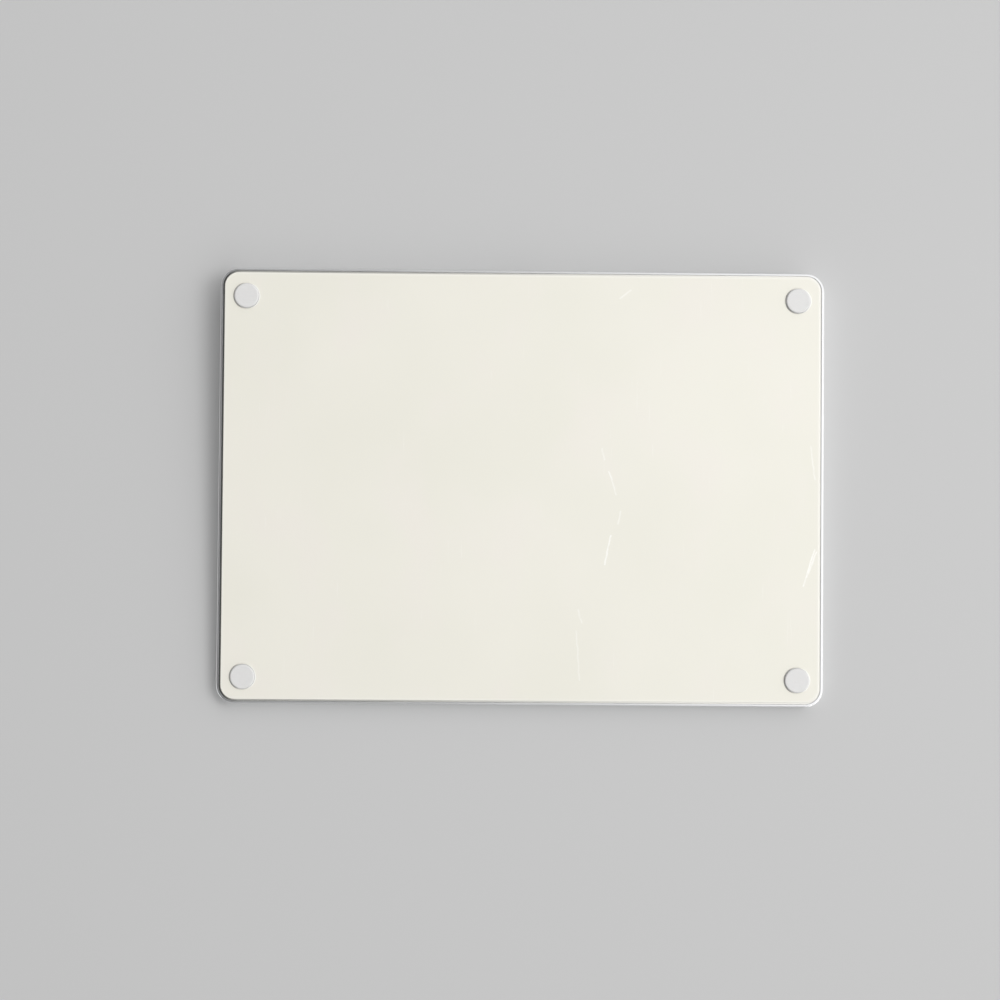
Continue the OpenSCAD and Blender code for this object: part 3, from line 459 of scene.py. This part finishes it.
def pouch_foil():
    """Cell: dark laminated foil with soft creases."""
    f = Finish("pouch_foil", (0.10, 0.10, 0.11), 0.34, constants={"Coat Weight": 0.15})
    creases = f.noise(0.14, 4.0, 0.55, stretch=(1.0, 0.4, 1.0))
    dimples = f.noise(1.1, 2.0)
    f.feed("Base Color", f.blend(creases, (0.075, 0.075, 0.082, 1), (0.14, 0.14, 0.148, 1)))
    f.feed("Roughness", 0.26 + dimples * 0.16)
    f.relief(creases + dimples * 0.12, 0.12)
    return f.material


def soft_tape(name, dark, light, roughness):
    """Foamed tape, whose cells show as fine spots."""
    f = Finish(name, light, roughness)
    cells = f.noise(2.6, 4.0, 0.7)
    f.feed("Base Color", f.blend(cells, (*dark, 1), (*light, 1)))
    f.feed("Roughness", roughness - 0.1 + cells * 0.2)
    f.relief(cells, 0.03)
    return f.material


def silicone_gel():
    """Pads under the deck: pale blue gel with a soft cloud in it."""
    f = Finish("silicone_gel", (0.60, 0.67, 0.73), 0.22, constants={"Coat Weight": 0.4})
    cloud = f.noise(0.5, 3.0)
    f.feed("Base Color", f.blend(cloud, (0.54, 0.61, 0.68, 1), (0.66, 0.73, 0.79, 1)))
    f.feed("Roughness", 0.16 + cloud * 0.14)
    return f.material


# One finish for each of the record's material slots
FINISHES = {
    "anodised_aluminium": blasted_aluminium(),
    "white_plastic": satin_cover(),
    "adhesive": soft_tape("foam_adhesive", (0.42, 0.42, 0.42), (0.52, 0.52, 0.515), 0.8),
    "foot_rubber": foot_polymer(),
    "white_glass": etched_glass(),
    "circuit_board": solder_mask(),
    "deck_aluminium": rolled_metal("deck_sheet", (0.55, 0.555, 0.56), (0.70, 0.705, 0.71), 0.38),
    "chip_black": moulded_black("chip_resin", (0.022, 0.022, 0.024), 0.5, 0.25),
    "connector_plastic": connector_plastic(),
    "spring_steel": rolled_metal("spring_steel", (0.42, 0.43, 0.45), (0.58, 0.59, 0.61), 0.3),
    "gel": silicone_gel(),
    "screw_steel": rolled_metal(
        "blackened_steel", (0.10, 0.10, 0.105), (0.20, 0.20, 0.21), 0.36, (2.0, 2.0, 0.6)),
    "sheet_steel": rolled_metal("plated_sheet", (0.60, 0.61, 0.62), (0.74, 0.75, 0.76), 0.27),
    "core_iron": laminated_iron(),
    "copper_wire": enamelled_copper(),
    "cell_pouch": pouch_foil(),
    "contact_gold": rolled_metal(
        "contact_gold", (0.74, 0.52, 0.19), (0.90, 0.68, 0.30), 0.24, (2.2, 0.2, 2.2)),
    "slider_plastic": slider_plastic(),
    "indicator_green": indicator_film(),
}
RIBBON_ALONG_Y = ribbon_film("ribbon_along_y", 0)
RIBBON_ALONG_X = ribbon_film("ribbon_along_x", 1)


def finish_of(node):
    """Finish of a node by its slot; a ribbon's tracks follow its longer side."""
    if slot_of[node] != "flex_film":
        return FINISHES[slot_of[node]]
    low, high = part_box(node)
    return RIBBON_ALONG_X if high.x - low.x > high.y - low.y else RIBBON_ALONG_Y


for name, piece in nodes.items():
    piece.data.materials.clear()
    piece.data.materials.append(finish_of(name))


# Grown pieces: steps in a round corner, the angle in degrees below which faces shade smoothly, and the
# length in millimetres that counts as none
CORNER_STEPS = 4
SMOOTH_BELOW = 38
TOLERANCE = 0.001


class Growth(Graph):
    """Geometry Nodes tree that sets a shape, in millimetres, on each of its places, in metres."""

    def __init__(self, name, sizes):
        super().__init__(bpy.data.node_groups.new(name, "GeometryNodeTree"))
        self.tree.interface.new_socket("Geometry", in_out="OUTPUT", socket_type="NodeSocketGeometry")
        kinds = {"Places": "Geometry", **sizes, "Material": "Material"}
        for label, kind in kinds.items():
            self.tree.interface.new_socket(label, in_out="INPUT", socket_type="NodeSocket" + kind)
        self.inputs = self.tree.nodes.new("NodeGroupInput")
        self.sizes = [self.given(label) for label in sizes]

    def given(self, label):
        """Wire of one of the tree's named inputs."""
        return Wire(self, self.inputs.outputs[label])

    def vector(self, x, y, z):
        return self.node("ShaderNodeCombineXYZ", None, {0: x, 1: y, 2: z})

    def place(self):
        """The x, y and z of each point of the shape that reads them."""
        return self.axes(self.node("GeometryNodeInputPosition"))

    def moved(self, shape, x, y, z):
        """Shape with each of its points at a new place."""
        spot = self.vector(x, y, z)
        return self.node("GeometryNodeSetPosition", None, {"Geometry": shape, "Position": spot})

    def cylinder(self, sides, rings, radius, depth):
        return self.node("GeometryNodeMeshCylinder", None,
                         {"Vertices": sides, "Side Segments": rings, "Radius": radius, "Depth": depth})

    def rounded_loop(self, width, height, corner):
        """Rectangle with round corners, as a curve."""
        sides = {"Width": width, "Height": height}
        loop = self.node("GeometryNodeCurvePrimitiveQuadrilateral", None, sides)
        return self.node("GeometryNodeFilletCurve", {"mode": "POLY"},
                         {"Curve": loop, "Count": CORNER_STEPS, "Radius": corner, "Limit Radius": True})

    def rounded_bar(self, start, end, width, height, corner):
        """Bar along x, whose section is a rectangle with round corners: width along y, height along z."""
        ends = {"Start": self.vector(start, 0.0, 0.0), "End": self.vector(end, 0.0, 0.0)}
        middle = self.node("GeometryNodeCurvePrimitiveLine", None, ends)
        section = self.rounded_loop(width, height, corner)
        return self.swept(middle, section)

    def swept(self, path, section):
        """Closed solid with a section all along a path."""
        return self.node("GeometryNodeCurveToMesh", None,
                         {"Curve": path, "Profile Curve": section, "Fill Caps": True})

    def cut(self, shape, tool):
        return self.node("GeometryNodeMeshBoolean", {"operation": "DIFFERENCE", "solver": "EXACT"},
                         {"Mesh 1": shape, "Mesh 2": tool})

    def fused(self, *shapes):
        return self.node("GeometryNodeMeshBoolean", {"operation": "UNION", "solver": "EXACT"},
                         {"Mesh 2": list(shapes)})

    def end(self, shape, rotation=(0.0, 0.0, 0.0)):
        """Sets the shape on every place, makes the copies real and gives them their finish."""
        copies = self.node("GeometryNodeInstanceOnPoints", None,
                           {"Points": self.given("Places"), "Instance": shape, "Rotation": rotation,
                            "Scale": (MM, MM, MM)})
        real = self.node("GeometryNodeRealizeInstances", None, {"Geometry": copies})
        dressed = self.node("GeometryNodeSetMaterial", None,
                            {"Geometry": real, "Material": self.given("Material")})
        last = self.tree.nodes.new("NodeGroupOutput")
        self.tree.links.new(dressed.socket, last.inputs["Geometry"])
        return self.tree


def grow(name, tree, places, sizes, material):
    """Piece that a tree makes on its places, as a plain mesh."""
    points = bpy.data.meshes.new(name)
    points.from_pydata(places, [], [])
    piece = bpy.data.objects.new(name, points)
    bpy.context.scene.collection.objects.link(piece)
    modifier = piece.modifiers.new(name, "NODES")
    modifier.node_group = tree
    values = {**sizes, "Material": material}
    for item in tree.interface.items_tree:
        if item.in_out == "INPUT" and item.name in values:
            modifier[item.identifier] = values[item.name]
    ready = piece.evaluated_get(bpy.context.evaluated_depsgraph_get())
    grown = bpy.data.meshes.new_from_object(ready)
    grown.materials.pop(index=0)
    piece.modifiers.clear()
    piece.data = grown
    grown.shade_smooth()
    grown.set_sharp_from_angle(angle=math.radians(SMOOTH_BELOW))
    return piece


def islands(node):
    """Points of each separate solid of a node, one array for each, in millimetres."""
    shell = bmesh.new()
    shell.from_mesh(nodes[node].data)
    bmesh.ops.remove_doubles(shell, verts=shell.verts, dist=TOLERANCE * MM)
    seen = set()
    solids = []
    for first in shell.verts:
        if first in seen:
            continue
        seen.add(first)
        reach = [first]
        for vert in reach:
            beyond = [edge.other_vert(vert) for edge in vert.link_edges]
            fresh = [other for other in beyond if other not in seen]
            seen.update(fresh)
            reach.extend(dict.fromkeys(fresh))
        solids.append(np.array([vert.co / MM for vert in reach]))
    shell.free()
    return solids


# Screws: the thread's pitch is in millimetres, and the other lengths are shares of a radius or of the head.
# A point of a solid screw is on the head's edge past a share of the greatest radius
HEAD_SIDES = 48
HEAD_RINGS = 5
HEAD_CROWN = 0.14
CROWN_POWER = 3
HEAD_EDGE = 0.95
RECESS_SHARE = 0.5
RECESS_LOBES = 6
LOBE_DEPTH = 0.13
SHANK_SIDES = 24
SHANK_TUCK = 0.25
THREAD_PITCH = 0.25
THREAD_DEPTH = 0.13
RINGS_PER_TURN = 8
TIP_REACH = 0.6
TIP_TAPER = 0.3


def machine_screw_tree():
    """Screw whose head rests on its place: crowned head with a lobed recess, and a threaded shank below."""
    g = Growth("machine_screws", {"Axis": "Vector", "Head Radius": "Float", "Head Height": "Float",
                                  "Shank Radius": "Float", "Shank Length": "Float", "Thread Pitch": "Float"})
    axis, head_r, head_h, shank_r, shank_l, pitch = g.sizes
    x, y, z = g.place()
    turn = g.math("ARCTAN2", y, x)

    crown = 1 - (z / head_h + 0.5) ** CROWN_POWER * HEAD_CROWN
    blank = g.cylinder(HEAD_SIDES, HEAD_RINGS, head_r, head_h)
    head = g.moved(blank, x * crown, y * crown, z + head_h * 0.5)
    lobes = 1 + g.math("COSINE", turn * RECESS_LOBES) * LOBE_DEPTH
    punch = g.cylinder(HEAD_SIDES, 1, head_r * RECESS_SHARE, head_h)
    recess = g.moved(punch, x * lobes, y * lobes, z + head_h)

    tucked = head_h * SHANK_TUCK
    depth = shank_l + tucked
    level = z + tucked - depth * 0.5
    ridge = g.math("PINGPONG", level / pitch - turn / math.tau, 0.5) * 2
    tip = g.step(-level, shank_l - shank_r * TIP_REACH, shank_l)
    slim = (1 - ridge * THREAD_DEPTH) * (1 - tip * TIP_TAPER)
    rod = g.cylinder(SHANK_SIDES, depth / pitch * RINGS_PER_TURN, shank_r, depth)
    shank = g.moved(rod, x * slim, y * slim, level)

    upright = g.node("FunctionNodeAlignRotationToVector", {"axis": "Z"}, {"Vector": axis})
    return g.end(g.fused(g.cut(head, recess), shank), upright)


def measured_screw(points, axis):
    """Place of a solid screw, the middle of its head's underside, and its sizes along its axis."""
    across = axis.orthogonal().normalized()
    third = axis.cross(across)
    level, side, other = (points @ np.array(way) for way in (axis, across, third))
    middle_1 = (side.max() + side.min()) / 2
    middle_2 = (other.max() + other.min()) / 2
    radius = np.hypot(side - middle_1, other - middle_2)
    under = level[radius > radius.max() * HEAD_EDGE].min()
    place = axis * under + across * middle_1 + third * middle_2
    sizes = {"Head Radius": radius.max(), "Head Height": level.max() - under,
             "Shank Radius": radius[level < under - TOLERANCE].max(),
             "Shank Length": under - level.min()}
    return place * MM, {label: float(size) for label, size in sizes.items()}


def grown_screws():
    """One piece for each node of screws, each screw where the node has one."""
    tree = machine_screw_tree()
    for node in ("spring_screws", "actuator_screws", "board_screws", "port_screws", "switch_screws"):
        axis = deck_normal if node == "spring_screws" else Vector((0, 0, 1))
        found = [measured_screw(points, axis) for points in islands(node)]
        sizes = {**found[0][1], "Axis": axis, "Thread Pitch": THREAD_PITCH}
        piece = grow("machine_" + node, tree, [place for place, screw in found], sizes, finish_of(node))
        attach(piece, "case")
        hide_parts(node)


grown_screws()

# Coils of the haptic drive, in millimetres: a moulded bobbin with two flanges and one even layer of wire
WIRE_R = 0.1
FLANGE_T = 0.25
COIL_CORNER = 0.7
POINTS_PER_TURN = 48
WIRE_SIDES = 6


def winding_tree():
    """Wire wound along x on a loop with round corners, about its place."""
    g = Growth("wire_windings", {"Length": "Float", "Width": "Float", "Height": "Float", "Corner": "Float",
                                 "Wire Radius": "Float", "Points": "Int"})
    length, width, height, corner, wire_r, count = g.sizes
    index = g.node("GeometryNodeInputIndex")
    turn = index / POINTS_PER_TURN
    loop = g.rounded_loop(width - wire_r * 2, height - wire_r * 2, corner - wire_r)
    spot = g.node("GeometryNodeSampleCurve", {"mode": "FACTOR", "use_all_curves": True},
                  {"Curves": loop, "Factor": g.math("FRACT", turn)}, out="Position")
    across, up = g.axes(spot)[:2]
    line = g.node("GeometryNodeMeshLine", None, {"Count": count, "Offset": (0.0, 0.0, MM)})
    advance = (index / (count - 1) - 0.5) * (length - wire_r * 2)
    path = g.node("GeometryNodeMeshToCurve", None, {"Mesh": g.moved(line, advance, across, up)})
    section = g.node("GeometryNodeCurvePrimitiveCircle", None, {"Resolution": WIRE_SIDES, "Radius": wire_r})
    return g.end(g.swept(path, section))


def bobbin_tree():
    """Tube along x about its place, with a flange at both ends and a square hole for the pole."""
    g = Growth("coil_bobbins", {"Length": "Float", "Width": "Float", "Height": "Float", "Corner": "Float",
                                "Flange": "Float", "Rebate": "Float", "Hole Width": "Float",
                                "Hole Height": "Float"})
    length, width, height, corner, flange, rebate, hole_w, hole_h = g.sizes
    half = length * 0.5
    tube = g.rounded_bar(-half, half, width - rebate * 2, height - rebate * 2, corner - rebate)
    left = g.rounded_bar(-half, flange - half, width, height, corner)
    right = g.rounded_bar(half - flange, half, width, height, corner)
    hole = g.node("GeometryNodeMeshCube", None, {"Size": g.vector(length * 2, hole_w, hole_h)})
    return g.end(g.cut(g.fused(tube, left, right), hole))


def grown_coils():
    """Bobbins and windings in the room of the plain coils."""
    coils = islands("actuator_coils")
    low = coils[0].min(axis=0)
    size = coils[0].max(axis=0) - low
    middles = [Vector((coil.min(axis=0) + coil.max(axis=0)) / 2) * MM for coil in coils]
    off_middle = np.abs(coils[0] - low - size / 2)
    inside = coils[0][(off_middle < size / 2 - TOLERANCE)[:, 1:].all(axis=1)]
    hole = inside.max(axis=0) - inside.min(axis=0)
    outline = {"Length": float(size[0]), "Width": float(size[1]), "Height": float(size[2]),
               "Corner": COIL_CORNER}

    tube = {**outline, "Flange": FLANGE_T, "Rebate": 2 * WIRE_R,
            "Hole Width": float(hole[1]), "Hole Height": float(hole[2])}
    bobbins = grow("coil_bobbins", bobbin_tree(), middles, tube, FINISHES["chip_black"])
    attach(bobbins, "case")

    wound = outline["Length"] - 2 * FLANGE_T
    turns = int(wound / (2 * WIRE_R))
    layer = {**outline, "Length": wound, "Wire Radius": WIRE_R, "Points": turns * POINTS_PER_TURN + 1}
    windings = grow("coil_windings", winding_tree(), middles, layer, FINISHES["copper_wire"])
    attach(windings, "case")
    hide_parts("actuator_coils")


grown_coils()

# Small capacitors and resistors in rows on the free parts of the logic board: lengths in millimetres, the
# shares of places that are filled and of a block's length in each end, the corners as shares of its width,
# and the draw above which a block is turned
BLOCK = (1.0, 0.5, 0.4)
BLOCK_PITCH = (1.7, 1.3)
BLOCK_MARGIN = 0.9
BLOCK_SHARE = 0.6
BLOCK_SEED = 7
END_SHARE = 0.25
END_PROUD = 0.03
END_CORNER = 0.15
BODY_CORNER = 0.1
TURN_ABOVE = 0.7


def small_block_tree(name, ends):
    """Block that lies on its place, here and there turned by a quarter: its two tinned ends or its body."""
    g = Growth(name, {"Length": "Float", "Width": "Float", "Height": "Float", "Seed": "Int"})
    length, width, height, seed = g.sizes
    half = length * 0.5
    cap = length * END_SHARE
    if ends:
        left = g.rounded_bar(-half, cap - half, width, height, width * END_CORNER)
        right = g.rounded_bar(half - cap, half, width, height, width * END_CORNER)
        block = g.node("GeometryNodeJoinGeometry", None, {"Geometry": [left, right]})
    else:
        block = g.rounded_bar(cap - half, half - cap, width - 2 * END_PROUD, height - 2 * END_PROUD,
                              width * BODY_CORNER)
    lifted = g.node("GeometryNodeTransform", None,
                    {"Geometry": block, "Translation": g.vector(0.0, 0.0, height * 0.5)})
    draw = g.node("FunctionNodeRandomValue", {"data_type": "FLOAT"}, {"Seed": seed}, out=1)
    quarter = g.math("GREATER_THAN", draw, TURN_ABOVE) * (math.pi / 2)
    return g.end(lifted, g.vector(0.0, 0.0, quarter))


def free_places():
    """Places of the small blocks: a grid on the board with gaps, clear of all that stands on it."""
    low, high = (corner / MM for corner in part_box("logic_board"))
    taken = [solid for node in ("board_chips", "board_connectors", "shield_can", "board_screws")
             for solid in islands(node)]
    draws = np.random.default_rng(BLOCK_SEED)
    places = []
    for x in np.arange(low.x + BLOCK_MARGIN, high.x - BLOCK_MARGIN, BLOCK_PITCH[0]):
        for y in np.arange(low.y + BLOCK_MARGIN, high.y - BLOCK_MARGIN, BLOCK_PITCH[1]):
            spot = np.array((x, y))
            clear = all((spot < solid[:, :2].min(axis=0) - BLOCK_MARGIN).any()
                        or (spot > solid[:, :2].max(axis=0) + BLOCK_MARGIN).any() for solid in taken)
            if draws.random() < BLOCK_SHARE and clear:
                places.append(Vector((x, y, high.z)) * MM)
    return places


def grown_blocks():
    """Bodies and ends of the small blocks, as two pieces."""
    places = free_places()
    sizes = {"Length": BLOCK[0], "Width": BLOCK[1], "Height": BLOCK[2], "Seed": BLOCK_SEED}
    for name, ends, slot in (("block_bodies", False, "chip_black"), ("block_ends", True, "sheet_steel")):
        piece = grow(name, small_block_tree(name, ends), places, sizes, FINISHES[slot])
        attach(piece, "case")


grown_blocks()

# Stage: pale sheets, in metres, that show from one side only and throw no light or shadow on the part
STAGE_HALF = 12.0
STAGE_TONE = 0.58
STAGE_GLOW = 0.08
STAGE_GAP = 0.2 * MM


def stage_finish():
    """Matt pale finish, clear from behind. A little of its tone is its own glow, which softens shadows."""
    material = bpy.data.materials.new("pale_stage")
    material.use_nodes = True
    graph = Graph(material.node_tree)
    shader = graph.tree.nodes["Principled BSDF"]
    lit = STAGE_TONE * (1 - STAGE_GLOW)
    shader.inputs["Base Color"].default_value = (lit, lit, lit, 1.0)
    shader.inputs["Roughness"].default_value = 1.0
    shader.inputs["Specular IOR Level"].default_value = 0.0
    shader.inputs["Emission Color"].default_value = (STAGE_TONE, STAGE_TONE, STAGE_TONE, 1.0)
    shader.inputs["Emission Strength"].default_value = STAGE_GLOW
    behind = graph.node("ShaderNodeNewGeometry", out="Backfacing")
    clear = graph.node("ShaderNodeBsdfTransparent")
    front = Wire(graph, shader.outputs[0])
    shown = graph.node("ShaderNodeMixShader", None, {0: behind, 1: front, 2: clear})
    graph.tree.links.new(shown.socket, graph.tree.nodes["Material Output"].inputs["Surface"])
    return material


def stage_sheet(name, middle, facing, material):
    """Large sheet through a point, turned to face a direction."""
    corners = [(-1, -1), (1, -1), (1, 1), (-1, 1)]
    mesh = bpy.data.meshes.new(name)
    mesh.from_pydata([(x * STAGE_HALF, y * STAGE_HALF, 0) for x, y in corners], [], [(0, 1, 2, 3)])
    mesh.transform(Matrix.Translation(middle) @ facing.to_track_quat("Z", "Y").to_matrix().to_4x4())
    mesh.materials.append(material)
    sheet = bpy.data.objects.new(name, mesh)
    bpy.context.scene.collection.objects.link(sheet)
    sheet.visible_diffuse = False
    sheet.visible_glossy = False
    sheet.visible_transmission = False
    sheet.visible_shadow = False


# The underside, which is lit for the photograph, doesn't brighten the desk that the part stands on
nodes["bottom_cover"].visible_diffuse = False
pale = stage_finish()
stage_sheet("desk_floor", Vector((0, 0, cad_low.z - STAGE_GAP)), Vector((0, 0, 1)), pale)
stage_sheet("floor_under_glass", Vector((0, 0, glass_height)) + deck_normal * STAGE_GAP, -deck_normal, pale)


def aim_lamp(name, kind, at, strength, spread, glints=True):
    """Lamp that looks at the part. Its spread is an area lamp's side in metres, or a sun's angle.

    Without glints, the lamp doesn't show in reflections.
    """
    lamp = bpy.data.lights.new(name, kind)
    lamp.energy = strength
    if kind == "SUN":
        lamp.angle = spread
    else:
        lamp.size = spread
    holder = bpy.data.objects.new(name, lamp)
    holder.location = at
    holder.rotation_euler = (-Vector(at)).to_track_quat("-Z", "Y").to_euler()
    holder.visible_glossy = glints
    bpy.context.scene.collection.objects.link(holder)
    return holder


def link_housing(lamp, state):
    """Lets a lamp light the housing alone, or all but the housing."""
    linked = bpy.data.collections.new(lamp.name + "_housing")
    linked.objects.link(nodes["housing"])
    lamp.light_linking.receiver_collection = linked
    linked.collection_objects[0].light_linking.link_state = state


# The photograph's lamps stand below the part, the key towards image right. The metal housing is left out of
# the key's light, because its lower edge would otherwise glint in views from above
photo_key = aim_lamp("photo_key", "AREA", at=(-0.29, 0.05, -0.57), strength=1.06, spread=0.25)
link_housing(photo_key, "EXCLUDE")
aim_lamp("photo_fill", "AREA", at=(0.0, 0.50, -0.60), strength=0.3, spread=0.4, glints=False)

# A sun on the housing alone brings out the rounding along its lower edge at image right
SUN_ANGLE = math.radians(35)
rim_light = aim_lamp("rim_light", "SUN", at=(-0.8, 0.0, 0.6), strength=0.3, spread=SUN_ANGLE)
link_housing(rim_light, "INCLUDE")

# Wide soft suns for views from above light the floor evenly out to its far edge. The low one at the rear
# doesn't show in the glass and the metal
aim_lamp("desk_key", "SUN", at=(-0.75, -0.65, 1.05), strength=1.11, spread=SUN_ANGLE)
aim_lamp("desk_fill", "SUN", at=(0.9, -0.4, 0.6), strength=0.35, spread=SUN_ANGLE)
aim_lamp("desk_rear", "SUN", at=(0.2, 0.9, 0.5), strength=0.4, spread=SUN_ANGLE, glints=False)

# Levels of the surround, with what is added towards image right and towards the rear
AROUND = 0.5
AROUND_RIGHT = 0.5
AROUND_REAR = 0.1

# Levels straight below the part, from bright at image right to dark at image left, and the shares of the way
# down between which they take over from the surround
UNDER = 0.5
UNDER_SLOPE = 7.0
UNDER_BRIGHT = 1.45
UNDER_DARK = 0.1
UNDER_REAR = 0.2
UNDER_FROM = 0.35
UNDER_FULL = 0.7


def studio_world():
    """Soft surround, which the camera sees as a plain background of the stage's tone."""
    world = bpy.data.worlds.new("studio")
    world.use_nodes = True
    graph = Graph(world.node_tree)
    side, depth, height = graph.axes(graph.node("ShaderNodeTexCoord", out="Generated"))
    seen = graph.node("ShaderNodeLightPath", out="Is Camera Ray")
    right = graph.math("MAXIMUM", -side, 0.0)
    rear = graph.math("MAXIMUM", depth, 0.0)
    around = AROUND + right * AROUND_RIGHT + rear * AROUND_REAR
    under = graph.math("MAXIMUM", UNDER - side * UNDER_SLOPE, UNDER_DARK)
    under = graph.math("MINIMUM", under, UNDER_BRIGHT) + rear * UNDER_REAR
    level = graph.mixed(graph.step(-height, UNDER_FROM, UNDER_FULL), around, under)
    surround = graph.mixed(seen, level, STAGE_TONE)
    backdrop = graph.tree.nodes["Background"]
    backdrop.inputs["Color"].default_value = (1.0, 1.0, 1.0, 1.0)
    graph.tree.links.new(surround.socket, backdrop.inputs["Strength"])
    bpy.context.scene.world = world


studio_world()


def photo_camera():
    """Camera that sees the part as the photograph does, from below."""
    camera = bpy.data.cameras.new("photo_camera")
    camera.lens = CAMERA_LENS
    camera.sensor_width = SENSOR_WIDTH
    ahead = (CAMERA_AIM - CAMERA_AT).normalized()
    up = Matrix.Rotation(CAMERA_ROLL, 3, ahead) @ Vector((0, 1, 0))
    right = ahead.cross(up).normalized()
    up = right.cross(ahead)
    turn = Matrix((right, up, -ahead)).transposed().to_4x4()
    holder = bpy.data.objects.new("photo_camera", camera)
    holder.matrix_world = Matrix.Translation(CAMERA_AT * MM) @ turn
    camera.clip_start = CAMERA_NEAR * MM
    bpy.context.scene.collection.objects.link(holder)
    bpy.context.scene.camera = holder


photo_camera()
bpy.context.scene.view_settings.view_transform = "Standard"
